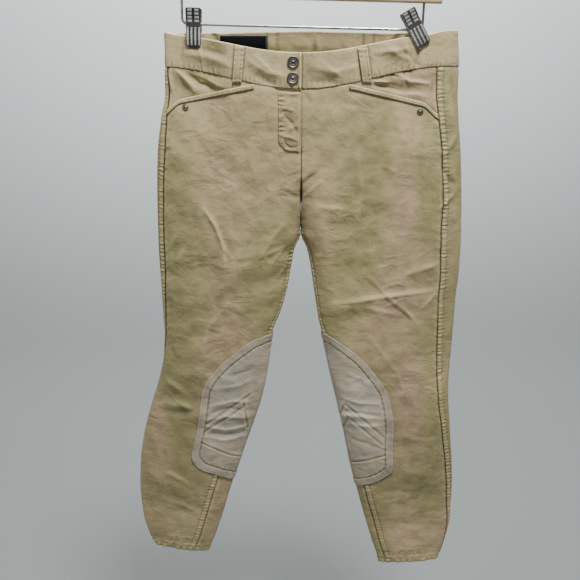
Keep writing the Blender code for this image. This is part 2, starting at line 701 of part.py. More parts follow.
def on_cloth(mesh, ground, x, z, lift, facing=FORWARD):
    """Turn a round piece to face out and seat its underside on the cloth at x, z."""
    seat = ground.level_seat(x, z, facing)
    facing = ground.level_facing(x, z, facing)
    turn = facing.to_track_quat("Z", "Y").to_matrix().to_4x4()
    mesh.transform(Matrix.Translation(seat + facing * lift) @ turn)


SNAP_PROFILE = [(0, 0), (7.6 * MM, 0), (8.6 * MM, 0.9 * MM), (8.5 * MM, 1.8 * MM), (7.4 * MM, 2.6 * MM),
                (6.3 * MM, 1.9 * MM), (2.6 * MM, 1.9 * MM), (1.2 * MM, 2.5 * MM), (0, 2.6 * MM)]
RIVET_PROFILE = [(0, 0), (4.4 * MM, 0), (4.9 * MM, 0.6 * MM), (4.2 * MM, 1.4 * MM), (2.4 * MM, 1.3 * MM),
                 (1.0 * MM, 1.9 * MM), (0, 2.0 * MM)]


# ---------------------------------------------------------------- hanger
ROD_Z = -0.1510
ROD_RADIUS = 1.9 * MM
FRAME_HALF = 0.1745
HANGER_TILT = math.radians(1.4)
BAR_LENGTH, BAR_DEPTH, BAR_HEIGHT, BAR_LOW_Z = 0.400, 13 * MM, 34 * MM, -0.1145
BAR_ARCH, BAR_SOFTENING = 9 * MM, 2 * MM
WIRE_BEND = 9 * MM
HOOK_RADIUS = 2.0 * MM
HOOK_INNER = 19 * MM


def tube(name, points, radius, surface, parent):
    """A round wire through points, as a curve with closed ends."""
    curve = bpy.data.curves.new(name, "CURVE")
    curve.dimensions = "3D"
    curve.bevel_depth = radius
    curve.bevel_resolution = 3
    curve.use_fill_caps = True
    spline = curve.splines.new("POLY")
    spline.points.add(len(points) - 1)
    for slot, point in zip(spline.points, points):
        slot.co = (*point, 1)
    curve.materials.append(surface)
    thing = bpy.data.objects.new(name, curve)
    thing.parent = parent
    bpy.context.scene.collection.objects.link(thing)
    return thing


def arc_points(centre, radius, start, end, steps):
    return [centre + Vector((radius * math.cos(a), 0, radius * math.sin(a)))
            for a in (start + (end - start) * k / steps for k in range(steps + 1))]


def hanger_wire(surface, parent):
    """The U of wire under the bar, whose level part carries the clips."""
    bend = WIRE_BEND
    top = BAR_LOW_Z - 0.2 * MM
    points = [Vector((-FRAME_HALF, 0, top))]
    points += arc_points(Vector((-FRAME_HALF + bend, 0, ROD_Z + bend)), bend, math.pi, 1.5 * math.pi, 6)
    points += arc_points(Vector((FRAME_HALF - bend, 0, ROD_Z + bend)), bend, 1.5 * math.pi, 2 * math.pi, 6)
    points.append(Vector((FRAME_HALF, 0, top)))
    return tube("hanger_wire", points, ROD_RADIUS, surface, parent)


def hanger_hook(surface, parent):
    """The hook, from its foot on the bar to its open end."""
    centre = Vector((0, 0, -HOOK_INNER))
    middle = HOOK_INNER + HOOK_RADIUS
    points = [Vector((0, 0, BAR_LOW_Z + BAR_HEIGHT + 0.3 * MM)), Vector((0, 0, -0.066))]
    points += [Vector((0.5 * MM, 0, -0.059)), Vector((4 * MM, 0, -0.050)), Vector((10 * MM, 0, -0.0425))]
    points += arc_points(centre, middle, math.radians(-46), math.radians(190), 16)
    return tube("hanger_hook", points, HOOK_RADIUS, surface, parent)


def hanger_bar(surface, parent):
    """The wooden bar, higher at the middle, with softened edges and square ends."""
    bm = bmesh.new()
    half, steps = BAR_LENGTH / 2, 10
    low = [(x, BAR_LOW_Z) for x in (-half, half)]
    top = []
    for k in range(steps + 1):
        x = half - BAR_LENGTH * k / steps
        rise = BAR_HEIGHT - BAR_ARCH * (abs(x) / half) ** 2
        top.append((x, BAR_LOW_Z + rise))
    outline = [bm.verts.new((x, -BAR_DEPTH / 2, z)) for x, z in low + top]
    face = bm.faces.new(outline)
    pushed = bmesh.ops.extrude_face_region(bm, geom=[face])["geom"]
    far_side = [g for g in pushed if isinstance(g, bmesh.types.BMVert)]
    bmesh.ops.translate(bm, vec=(0, BAR_DEPTH, 0), verts=far_side)
    long_edges = [e for e in bm.edges if abs(e.verts[0].co.y - e.verts[1].co.y) < 1e-6]
    bmesh.ops.bevel(bm, geom=long_edges, offset=BAR_SOFTENING, segments=2, affect="EDGES",
                    profile=0.5, material=-1)
    return place("hanger_bar", mesh_from(bm, "hanger_bar"), surface, parent, 40)


Clip = namedtuple("Clip", "name along spring turn slide")
# place of the jaws and of the spring along the rod, turn of the jaws in the hanger's plane, and
# how far the jaws sit up from their middle place
CLIPS = [Clip("right", -0.1575, -0.1575, math.radians(0), 0.0),
         Clip("left", 0.1660, 0.1585, math.radians(31), 0.008)]
JAW_WIDTH, JAW_HEIGHT, JAW_ABOVE, JAW_PLATE = 22 * MM, 55 * MM, 22 * MM, 1.3 * MM
JAW_FACE = 4.1 * MM            # from the rod's middle plane to a jaw's inner face


def jaw(name, facing):
    """One jaw plate: flat over the rod, flared at its top, with a lip that grips the band."""
    low = JAW_ABOVE - JAW_HEIGHT
    profile = [(JAW_ABOVE, 8.0 * MM), (JAW_ABOVE - 7 * MM, 6.4 * MM), (JAW_ABOVE - 14 * MM, 4.6 * MM),
               (3 * MM, JAW_FACE), (-8 * MM, JAW_FACE), (low + 12 * MM, JAW_FACE + 1.0 * MM),
               (low + 4 * MM, JAW_FACE + 0.4 * MM), (low, JAW_FACE)]
    half = JAW_WIDTH / 2
    outside, inside = [], []
    for z, y in profile:
        narrow = 3.0 * MM if z == low else 0.0
        shares = (-1.0, -0.55, 0.0, 0.55, 1.0)
        inside.append([Vector((s * (half - narrow), facing * y, z)) for s in shares])
        outside.append([Vector((s * (half - narrow), facing * (y + JAW_PLATE), z)) for s in shares])
    return wall(name, outside, inside)


def clip_spring(name):
    """The rolled spring on the rod, between the two jaws."""
    inner, outer, half = ROD_RADIUS + 0.3 * MM, JAW_FACE - 0.3 * MM, 6 * MM
    mesh = turned(name, [(inner, -half), (outer, -half), (outer, half), (inner, half), (inner, -half)], 20)
    mesh.transform(Matrix.Rotation(math.radians(90), 4, "Y"))
    return mesh


# ---------------------------------------------------------------- building
# name, place at the top and at the foot of a belt loop, face
BELT_LOOPS = [("belt_loop_front_right", -0.0895, -0.0945, "front"),
              ("belt_loop_front_left", 0.0875, 0.0955, "front"),
              ("belt_loop_back_right", -0.0425, -0.0425, "back"),
              ("belt_loop_back_left", 0.0998, 0.1000, "back")]
SNAPS = [("snap_upper", -0.0125, -0.1995), ("snap_lower", -0.0130, -0.2218)]
RIVETS = [("rivet_right", -0.1725, -0.2637), ("rivet_left", 0.1769, -0.2700)]
SNAP_LIFT, RIVET_LIFT = 0.4 * MM, 0.5 * MM


def build():
    for thing in list(bpy.data.objects):
        bpy.data.objects.remove(thing)

    twill = material("twill", (0.47, 0.40, 0.27), 0.9)
    twill_back = material("twill_back", (0.43, 0.37, 0.25), 0.9)
    suede = material("suede", (0.44, 0.41, 0.36), 0.95)
    binding = material("binding", (0.50, 0.44, 0.31), 0.85)
    woven = material("woven_label", (0.012, 0.012, 0.016), 0.7)
    pewter = material("pewter", (0.32, 0.31, 0.28), 0.35, 1.0)
    steel = material("steel", (0.62, 0.62, 0.60), 0.25, 1.0)
    wood = material("beech", (0.60, 0.44, 0.27), 0.5)

    garment = bpy.data.objects.new("garment", None)
    garment.location = (GARMENT_X, 0, 0)
    hanger = bpy.data.objects.new("hanger", None)
    hanger.rotation_euler = (0, HANGER_TILT, 0)
    for empty in (garment, hanger):
        bpy.context.scene.collection.objects.link(empty)

    panels, grids = [], {}
    for kind in ("front", "back"):
        for side in SIDES:
            grid = panel_grid(side, kind)
            grids[kind, side.name] = grid
            mesh = cloth_wall(f"{kind}_{side.name}", grid, TWILL)
            panels.append(mesh)
            place(mesh.name, mesh, twill if kind == "front" else twill_back, garment, 60)
    bands = [band_front(side) for side in SIDES] + [band_back()]
    for mesh in bands:
        place(mesh.name, mesh, binding, garment, 60)
    facings = [pocket_facing(side) for side in SIDES]
    for mesh in facings:
        place(mesh.name, mesh, twill, garment, 60)

    cloth = Ground(panels + bands + facings)
    for side in SIDES:
        front = grids["front", side.name]
        sheet = wall_on(f"pocket_welt_{side.name}", front[:4], TRIM)
        cut_out(place(sheet.name, sheet, binding, garment, 60), welt_cutter(side), garment)
        sheet = wall_on(f"knee_patch_{side.name}", inner_leg(front, grids["back", side.name]), PATCH)
        cut_out(place(sheet.name, sheet, suede, garment, 60), patch_cutter(side), garment)
    mesh = fly_flap(cloth)
    place(mesh.name, mesh, binding, garment, 60)
    for name, x_top, x_low, face in BELT_LOOPS:
        place(name, belt_loop(name, cloth, x_top, x_low, face), binding, garment, 40)
    inside_back = Ground([bands[2]])
    mesh = label(inside_back)
    place(mesh.name, mesh, woven, garment)

    for name, x, z in SNAPS:
        mesh = turned(name, SNAP_PROFILE, 20)
        on_cloth(mesh, cloth, x, z, SNAP_LIFT)
        place(name, mesh, pewter, garment, 50)
    for name, x, z in RIVETS:
        mesh = turned(name, RIVET_PROFILE, 16)
        on_cloth(mesh, cloth, x, z, RIVET_LIFT)
        place(mesh.name, mesh, pewter, garment, 50)

    hanger_bar(wood, hanger)
    hanger_hook(steel, hanger)
    hanger_wire(steel, hanger)
    for clip in CLIPS:
        spring_place = Matrix.Translation((clip.spring, 0, ROD_Z))
        jaw_place = Matrix.Translation((clip.along, 0, ROD_Z)) @ Matrix.Rotation(-clip.turn, 4, "Y")
        jaw_place = jaw_place @ Matrix.Translation((0, 0, clip.slide))
        for part, facing in (("front", -1), ("back", 1)):
            name = f"clip_{clip.name}_{part}"
            mesh = jaw(name, facing)
            mesh.transform(jaw_place)
            place(name, mesh, steel, hanger, 30)
        mesh = clip_spring(f"clip_{clip.name}_spring")
        mesh.transform(spring_place)
        place(mesh.name, mesh, steel, hanger, 30)


build()
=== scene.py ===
"""Knee-patch riding breeches held flat by a wooden clip hanger, dressed over their CAD solids.

Metres, +Z up, the front faces -Y. "Right" and "left" are the wearer's: the right leg lies at -X.
Cloth is laid in rows round each leg, as it is cut, and every row is made of real lengths.
The tables of places, widths and folds are in millimetres.
"""
import math

import bmesh
import bpy
import numpy as np
from bpy.props import FloatProperty, FloatVectorProperty, PointerProperty
from mathutils import Matrix, Vector
from mathutils.bvhtree import BVHTree


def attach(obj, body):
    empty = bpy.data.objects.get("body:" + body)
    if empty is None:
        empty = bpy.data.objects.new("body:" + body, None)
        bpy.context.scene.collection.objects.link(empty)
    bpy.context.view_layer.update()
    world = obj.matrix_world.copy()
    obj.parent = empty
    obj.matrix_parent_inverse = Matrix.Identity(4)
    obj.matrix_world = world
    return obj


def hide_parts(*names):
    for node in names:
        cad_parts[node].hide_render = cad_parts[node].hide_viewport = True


bl_info = {
    "name": "Knee-patch riding breeches",
    "version": (1, 0, 0),
    "blender": (4, 5, 0),
    "location": "View3D > Sidebar > Breeches",
    "description": "Riding breeches with suede knee patches, held flat by a wooden clip hanger",
    "category": "Object",
}

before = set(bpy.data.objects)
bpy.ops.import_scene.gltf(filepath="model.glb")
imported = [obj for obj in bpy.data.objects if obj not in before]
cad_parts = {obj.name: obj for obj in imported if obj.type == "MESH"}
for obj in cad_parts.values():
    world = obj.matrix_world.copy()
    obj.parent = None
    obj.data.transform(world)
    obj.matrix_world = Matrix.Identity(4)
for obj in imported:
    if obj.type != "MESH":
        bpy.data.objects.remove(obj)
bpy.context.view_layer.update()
MM = 0.001


# ---------------------------------------------------------------- sizes and colours
def size(name, text, value):
    return FloatProperty(name=name, description=text, default=value, min=0.0, unit="LENGTH", precision=5)


def colour(name, text, value):
    return FloatVectorProperty(name=name, description=text, default=value, size=3, subtype="COLOR",
                               min=0.0, max=1.0)


class BreechesSettings(bpy.types.PropertyGroup):
    """Sizes and colours of the breeches, the hanger and the studio."""

    twill_wall: size("Twill", "Wall of a front or back", 1.5 * MM)
    band_wall: size("Waistband", "Wall of the folded waistband", 2.2 * MM)
    patch_rise: size("Knee patch", "How far a knee patch stands off the leg", 1.45 * MM)
    stitch_length: size("Stitch length", "Visible length of a stitch", 2.3 * MM)
    stitch_pitch: size("Stitch pitch", "From one stitch to the next", 3.2 * MM)
    thread_width: size("Thread", "Width of the sewing thread", 0.55 * MM)
    twill_colour: colour("Twill", "Worn khaki twill", (0.43, 0.339, 0.178))
    green_colour: colour("Less faded twill", "Where the twill keeps its green", (0.355, 0.310, 0.143))
    pink_colour: colour("Faded twill", "Where the twill has faded to pink", (0.475, 0.343, 0.210))
    band_colour: colour("Waistband", "Washed cloth of the waistband", (0.50, 0.410, 0.216))
    suede_colour: colour("Suede", "Knee patches", (0.47, 0.422, 0.338))
    thread_colour: colour("Thread", "Sewing thread", (0.47, 0.39, 0.23))
    label_colour: colour("Label", "Woven label", (0.004, 0.004, 0.006))
    pewter_colour: colour("Pewter", "Snaps and rivets", (0.20, 0.18, 0.145))
    steel_colour: colour("Steel", "Wire and clips", (0.42, 0.41, 0.38))
    wood_colour: colour("Wood", "Hanger bar", (0.62, 0.45, 0.27))
    studio_colour: colour("Studio", "Floor and backdrop", (0.78, 0.85, 0.84))


# ---------------------------------------------------------------- materials
class Value:
    """A shader socket whose arithmetic adds Math nodes."""

    def __init__(self, finish, socket):
        self.finish, self.socket = finish, socket

    def math(self, operation, *values, **settings):
        return self.finish.node("ShaderNodeMath", {"operation": operation, **settings},
                                dict(enumerate(values)))

    def __add__(self, other):
        return self.math("ADD", self, other)

    def __sub__(self, other):
        return self.math("SUBTRACT", self, other)

    def __mul__(self, other):
        return self.math("MULTIPLY", self, other)

    __radd__ = __add__
    __rmul__ = __mul__

    def waves(self, pitch):
        """A sine wave with a length."""
        return self.math("SINE", self * (2 * math.pi / pitch))

    def size(self):
        return self.math("ABSOLUTE", self)

    def clamped(self):
        return self.math("ADD", self, 0.0, use_clamp=True)


class Finish:
    """A procedural material on the Principled shader."""

    def __init__(self, name, **constants):
        self.material = bpy.data.materials.new(name)
        self.material.use_nodes = True
        self.tree = self.material.node_tree
        self.shader = self.tree.nodes["Principled BSDF"]
        for key, value in constants.items():
            self.shader.inputs[key.replace("_", " ")].default_value = value

    def node(self, kind, settings=(), inputs=(), output=0):
        made = self.tree.nodes.new(kind)
        for key, value in dict(settings).items():
            setattr(made, key, value)
        for key, value in dict(inputs).items():
            if isinstance(value, Value):
                self.tree.links.new(value.socket, made.inputs[key])
            else:
                made.inputs[key].default_value = value
        return Value(self, made.outputs[output])

    def attribute(self, name):
        return self.node("ShaderNodeAttribute", {"attribute_name": name}, output="Fac")

    def places(self, scale=(1, 1, 1), turn=(0, 0, 0), source="Object"):
        where = self.node("ShaderNodeTexCoord", output=source)
        return self.node("ShaderNodeMapping", {}, {"Vector": where, "Scale": scale, "Rotation": turn})

    def axis(self, vector, letter):
        return self.node("ShaderNodeSeparateXYZ", {}, {0: vector}, letter)

    def noise(self, where, scale, detail=2.0, roughness=0.5, distortion=0.0):
        return self.node("ShaderNodeTexNoise", {}, {"Vector": where, "Scale": scale, "Detail": detail,
                                                    "Roughness": roughness, "Distortion": distortion})

    def between(self, value, low, high, to_low=0.0, to_high=1.0):
        return self.node("ShaderNodeMapRange", {}, {0: value, 1: low, 2: high, 3: to_low, 4: to_high})

    def mix(self, factor, first, second):
        first, second = ((*c, 1.0) if isinstance(c, tuple) else c for c in (first, second))
        return self.node("ShaderNodeMix", {"data_type": "RGBA"}, {0: factor, 6: first, 7: second}, 2)

    def shaded(self, tint, brightness):
        """A colour made lighter or darker by a value round 1."""
        return self.node("ShaderNodeVectorMath", {"operation": "SCALE"}, {0: tint, 3: brightness})

    def surface(self, tint, roughness=None, height=None, distance=MM):
        """The finished material, with a colour, a roughness and the height of its relief."""
        inputs = {"Base Color": tint, "Roughness": roughness}
        if height is not None:
            relief_inputs = {"Height": height, "Distance": distance, "Strength": 1.0}
            inputs["Normal"] = self.node("ShaderNodeBump", {}, relief_inputs)
        for key, value in inputs.items():
            if value is not None:
                self.tree.links.new(value.socket, self.shader.inputs[key])
        return self.material


def times(rgb, factors):
    """A colour times one factor, or one for each channel."""
    return tuple(np.multiply(tuple(rgb), factors).tolist())


def twill_finish(name, base, green, pink, crumpled):
    """Twill that has faded unevenly, with puckered seams and a lighter frayed hem, and with painted
    highlights on raised edges and puckers and painted shade in creases and grooves.
    """
    made = Finish(name, Roughness=0.85, Sheen_Weight=0.06, Sheen_Roughness=0.5, Specular_IOR_Level=0.32)
    where = made.places()
    cloth = made.places(source="UV")
    u, v = made.axis(cloth, "X"), made.axis(cloth, "Y")
    broad = made.noise(made.places(scale=(1.5, 1.0, 0.6)), 7.0, 2.0, 0.45, 0.3)
    patchy = made.noise(made.places(scale=(1.1, 1.0, 0.65)), 26.0, 3.0, 0.55, 0.4)
    fine = made.noise(where, 150.0, 3.0, 0.6)
    speck = made.noise(where, 900.0, 1.0, 0.5)
    tint = (broad + patchy * 0.25 - 0.125 + made.attribute("tint") * 0.42).clamped()
    faded = made.mix(made.between(tint, 0.34, 0.54), green, base)
    faded = made.mix(made.between(tint, 0.54, 0.80), faded, pink)
    # The tone attribute makes the colour lighter and darker: painted light and shade, and faded patches.
    light = 0.72 + patchy * 0.28 + fine * 0.16 + speck * 0.10 + made.attribute("tone") * 0.62
    wale = (u + v).waves(1.0 * MM)
    weft = v.waves(0.7 * MM) * u.waves(0.9 * MM)
    uneven = made.noise(where, 85.0, 2.0, 0.5)
    rungs = (made.attribute("ladder") + uneven * (9 * MM)).waves(6.4 * MM)
    rungs = rungs * made.attribute("rungs") * made.between(uneven, 0.38, 0.62)
    crumple = made.noise(where, 60.0, 4.0, 0.6, 0.6)
    ridged = (made.noise(made.places(scale=(0.7, 1.0, 1.25)), 24.0, 3.0, 0.5, 0.8) - 0.5).size()
    spread = made.between(made.noise(where, 11.0, 2.0, 0.5), 0.40, 0.62, 0.15, 1.0)
    ridged = ridged * spread * crumpled
    # Painted shade where the crumple sinks, and a painted highlight on the puckers of seams.
    light = light - ridged * 0.3 + rungs * 0.16
    height = wale * 0.035 + weft * 0.02 + rungs * 0.75 + crumple * 2.3 + fine * 0.45 - ridged * 5.5
    return made.surface(made.shaded(faded, light), 0.66 + patchy * 0.2, height, 0.8 * MM)


def suede_finish(settings):
    """Nubuck with a short nap, rubbed darker and lighter in patches."""
    made = Finish("nubuck", Roughness=0.95, Sheen_Weight=0.12, Sheen_Roughness=0.4, Specular_IOR_Level=0.15)
    where = made.places()
    base = tuple(settings.suede_colour)
    rubbed = made.noise(where, 22.0, 3.0, 0.6, 0.8)
    nap = made.noise(where, 260.0, 3.0, 0.7)
    grain = made.noise(where, 1100.0, 2.0, 0.6)
    tint = made.mix(made.between(rubbed, 0.35, 0.65), base, times(base, (1.02, 0.93, 0.82)))
    # The tone attribute carries painted shade in the patch's grooves and at its edges and painted highlights
    # on its ridges, besides lighter and darker places.
    light = 0.76 + rubbed * 0.24 + nap * 0.16 + grain * 0.08 + made.attribute("tone") * 0.7
    height = nap * 0.5 + grain * 0.25 + made.noise(where, 75.0, 4.0, 0.6, 0.8) * 2.2
    return made.surface(made.shaded(tint, light), 0.88 + nap * 0.1, height, 0.7 * MM)


def thread_finish(settings):
    made = Finish("sewing_thread", Roughness=0.7, Sheen_Weight=0.2)
    twist = made.noise(made.places(), 2500.0, 1.0)
    tint = made.mix(twist, tuple(settings.thread_colour), (0.62, 0.55, 0.38))
    return made.surface(made.shaded(tint, 0.85 + twist * 0.3), height=twist, distance=0.1 * MM)


def label_finish(settings):
    """Black satin weave with a paler woven edge."""
    made = Finish("satin_label", Roughness=0.75, Specular_IOR_Level=0.15)
    cloth = made.places(source="UV")
    rib = made.axis(cloth, "Y").waves(0.8 * MM)
    grain = made.noise(made.places(), 700.0, 2.0)
    woven = made.mix(made.attribute("tone"), tuple(settings.label_colour), (0.07, 0.07, 0.08))
    return made.surface(made.shaded(woven, 0.8 + grain * 0.5), 0.6 + grain * 0.3, rib * 0.3 + grain, 0.1 * MM)


def metal_finish(name, rgb, roughness, scratch, dull):
    """Metal with fine scratches, and a dull film in patches."""
    made = Finish(name, Metallic=1.0)
    where = made.places()
    film = made.noise(where, 90.0, 3.0, 0.6)
    lines = made.noise(made.places(scale=(1, 1, 14)), 420.0, 3.0, 0.7)
    spots = made.noise(where, 800.0, 2.0, 0.6)
    tint = made.mix(made.between(film, 0.45, 0.7), tuple(rgb), times(rgb, dull))
    return made.surface(made.shaded(tint, 0.85 + spots * 0.3), roughness + lines * 0.16 + film * 0.1,
                        lines * scratch + spots * 0.4, 0.06 * MM)


def chrome_finish(settings):
    """Chrome with painted reflections: dark where the pressed jaw is hollow and bright on its ribs."""
    made = Finish("pressed_chrome", Metallic=0.75)
    spots = made.noise(made.places(), 500.0, 2.0, 0.6)
    bright = tuple(min(c * 1.9, 1.0) for c in settings.steel_colour)
    tint = made.mix(made.attribute("tone"), times(bright, 0.09), bright)
    return made.surface(made.shaded(tint, 0.8 + spots * 0.4), 0.16 + spots * 0.2)


def wood_finish(settings):
    """Clear-coated beech: long grain, short dark flecks and a few darker rings."""
    made = Finish("coated_beech", Coat_Weight=0.35, Coat_Roughness=0.25, Roughness=0.45)
    along = made.places(scale=(0.12, 1.0, 1.0))
    rings = made.noise(along, 140.0, 4.0, 0.55, 1.2)
    fibre = made.noise(made.places(scale=(0.05, 1.0, 1.0)), 1400.0, 2.0, 0.6)
    flecks = made.between(made.noise(made.places(scale=(0.2, 1.0, 1.0)), 620.0, 1.0), 0.62, 0.72)
    base = tuple(settings.wood_colour)
    tint = made.mix(made.between(rings, 0.35, 0.7), base, times(base, (0.72, 0.64, 0.55)))
    tint = made.mix(flecks * 0.35, tint, times(base, 0.5))
    return made.surface(made.shaded(tint, 0.85 + fibre * 0.3), 0.35 + rings * 0.2,
                        fibre * 0.5 + rings + flecks * 0.4, 0.12 * MM)


def studio_finish(settings):
    made = Finish("studio_paper", Roughness=0.95)
    where = made.places()
    # Painted shade: the paper is darker towards the floor, for light that falls off downwards.
    rise = made.between(made.axis(where, "Z"), FLOOR_Z, 0.35, 0.27, 1.0)
    tint = made.mix(made.noise(where, 3.0, 2.0) * 0.1, tuple(settings.studio_colour), (1.0, 1.0, 1.0))
    return made.surface(made.shaded(tint, rise))


FINISHES = {}


def finishes():
    """Every material, made once."""
    if not FINISHES:
        settings = bpy.context.scene.breeches
        twill, green, pink, band = (tuple(getattr(settings, f"{key}_colour"))
                                    for key in ("twill", "green", "pink", "band"))
        FINISHES.update(
            twill=twill_finish("khaki_twill", twill, green, pink, 1.0),
            washed_twill=twill_finish("washed_twill", band, times(band, 0.93), band, 0.15),
            suede=suede_finish(settings),
            thread=thread_finish(settings),
            label=label_finish(settings),
            pewter=metal_finish("dull_pewter", settings.pewter_colour, 0.34, 0.4, 0.55),
            steel=metal_finish("bright_steel", settings.steel_colour, 0.18, 0.5, 0.6),
            chrome=chrome_finish(settings),
            wood=wood_finish(settings),
            studio=studio_finish(settings))
    return FINISHES


# ---------------------------------------------------------------- form of the cloth
def smooth(value):
    t = np.clip(value, 0.0, 1.0)
    return t * t * (3 - 2 * t)


def bell(distance, width):
    return np.exp(-(distance / width) ** 2)


def rolled(distance, width):
    """1 at an edge, and 0 from a width inside it."""
    return (1 - np.clip(distance / width, 0, 1)) ** 2


def ripples(along, pitch, swing, wander):
    """Uneven waves along a seam."""
    return np.sin(along * 2 * math.pi / pitch + swing * np.sin(along * wander))


def passed_at(points):
    """The length of a line up to each of its points."""
    return np.concatenate([[0.0], np.cumsum(np.linalg.norm(np.diff(points, axis=0), axis=1))])


def along_line(at, passed, points):
    """Places on a line of points, at lengths along it."""
    return np.stack([np.interp(at, passed, points[:, k]) for k in range(3)], -1)


class Table:
    """Smooth values against height, from rows of millimetres that start with a height."""

    def __init__(self, columns, rows):
        data = np.array(rows)[::-1] * MM
        self.columns, self.z, self.values = columns.split(), data[:, 0], data[:, 1:]
        rate = np.diff(self.values, axis=0) / np.diff(self.z)[:, None]
        before, after = rate[:-1], rate[1:]
        same = before * after > 0
        self.slopes = np.zeros_like(self.values)
        self.slopes[1:-1] = np.where(same, 2 * before * after / np.where(same, before + after, 1.0), 0.0)

    def at(self, column, z):
        k = self.columns.index(column)
        z = np.clip(z, self.z[0], self.z[-1])
        i = np.clip(np.searchsorted(self.z, z) - 1, 0, len(self.z) - 2)
        span = self.z[i + 1] - self.z[i]
        t = (z - self.z[i]) / span
        value, slope = self.values[:, k], self.slopes[:, k]
        return ((1 + 2 * t) * (1 - t) ** 2 * value[i] + t * (1 - t) ** 2 * span * slope[i]
                + t * t * (3 - 2 * t) * value[i + 1] + t * t * (t - 1) * span * slope[i + 1])


# height, outer and inner fold from the middle line, half depth of the front and of the back, and
# how far in from the fold the outseam and the inseam lie on the front
LEG_COLUMNS = "outer inner front back outseam inseam"
RIGHT_ROWS = [
    (-150, 200.3, 0, 18, 18, 4, 0), (-206, 201.5, 0, 19, 19, 4, 0), (-240, 202.5, 0, 21, 23, 6, 0),
    (-280, 211, 0, 23, 27, 9, 0), (-330, 219, 0, 23, 30, 12, 0), (-390, 223, 0, 22, 29, 11, 0),
    (-455, 225, 0, 21, 25, 10, 0), (-480, 225.5, 10, 21, 23, 10, 0), (-520, 225, 16.5, 20, 22, 9, 0),
    (-560, 224, 25, 20, 21, 6, 0), (-590, 223.2, 34.5, 19, 20, 4, 0), (-620, 222.5, 45.5, 19, 20, 2, 1),
    (-660, 226, 51, 19, 19, 0, 6), (-700, 235, 57.5, 18, 18, 0, 12), (-740, 248, 66, 18, 17, 0, 18),
    (-780, 260.5, 78.5, 17, 17, 0, 23), (-820, 270.5, 92, 16, 17, 0, 26), (-860, 277, 105, 16, 17, 0, 28),
    (-920, 281.2, 123.5, 15, 16, 0, 29), (-970, 278.5, 138, 14, 14, 0, 29),
    (-1010, 269.5, 151, 12, 12, 0, 28), (-1045, 256, 163, 11, 11, 0, 27),
]
LEFT_ROWS = [
    (-150, 227.5, 0, 18, 18, 4, 0), (-206, 232.5, 0, 19, 19, 34, 0), (-240, 233, 0, 21, 23, 34, 0),
    (-280, 237, 0, 23, 27, 33, 0), (-330, 243.5, 0, 23, 30, 32, 0), (-390, 249, 0, 22, 29, 32, 0),
    (-455, 253, 0, 21, 25, 35, 0), (-480, 254, 10, 21, 23, 35, 0), (-520, 254, 18, 20, 22, 33, 0),
    (-560, 251.5, 24, 20, 21, 31, 0), (-600, 251, 30.5, 19, 20, 29, 0), (-640, 250.5, 39, 19, 19, 27, 2),
    (-700, 249.5, 52, 18, 18, 22, 6), (-740, 251.5, 61.5, 18, 17, 19, 9), (-780, 256, 71, 17, 17, 17, 12),
    (-820, 260.5, 79.5, 16, 17, 15, 13), (-860, 265, 87.5, 16, 17, 13, 14), (-920, 269, 102, 15, 16, 11, 15),
    (-970, 269, 115.5, 14, 14, 6, 15), (-1020, 262, 130, 12, 12, 1, 14), (-1070, 252.5, 144, 11, 11, 0, 13),
]
CROTCH_Z, FRONT_LEVEL, LEVEL_FADE, HEM_FADE = -0.455, -0.2383, -0.345, 0.160
FOLD_RADIUS, OUTER_EASE, INNER_EASE = 4 * MM, 55 * MM, 36 * MM
PINCH_DEPTH, PINCH_REACH, PINCH_RUN, PINCH_END_Z, PINCH_FADE = 3.4 * MM, 55 * MM, 40 * MM, -0.335, 0.115
GAP, SEAM, FOLD_FADE, GARMENT_X = 0.3 * MM, 0.4 * MM, 20 * MM, -4.5 * MM
POCKET_START, POCKET_BEND, POCKET_TURN_DOWN, POCKET_TURN_RUN = 0.067, 0.178, 19 * MM, 28 * MM
GROOVE_TOP = {"front": -0.362, "back": -0.405}      # where the groove above the crotch runs out
CENTRE_BACK = 30 * MM           # how far the centre back seam hangs towards the left leg
SAG_REACH = 0.215
TOP_SAG = {"front": 28 * MM, "back": -2 * MM}
LOW_SAG = {"front": 31 * MM, "back": 4 * MM}


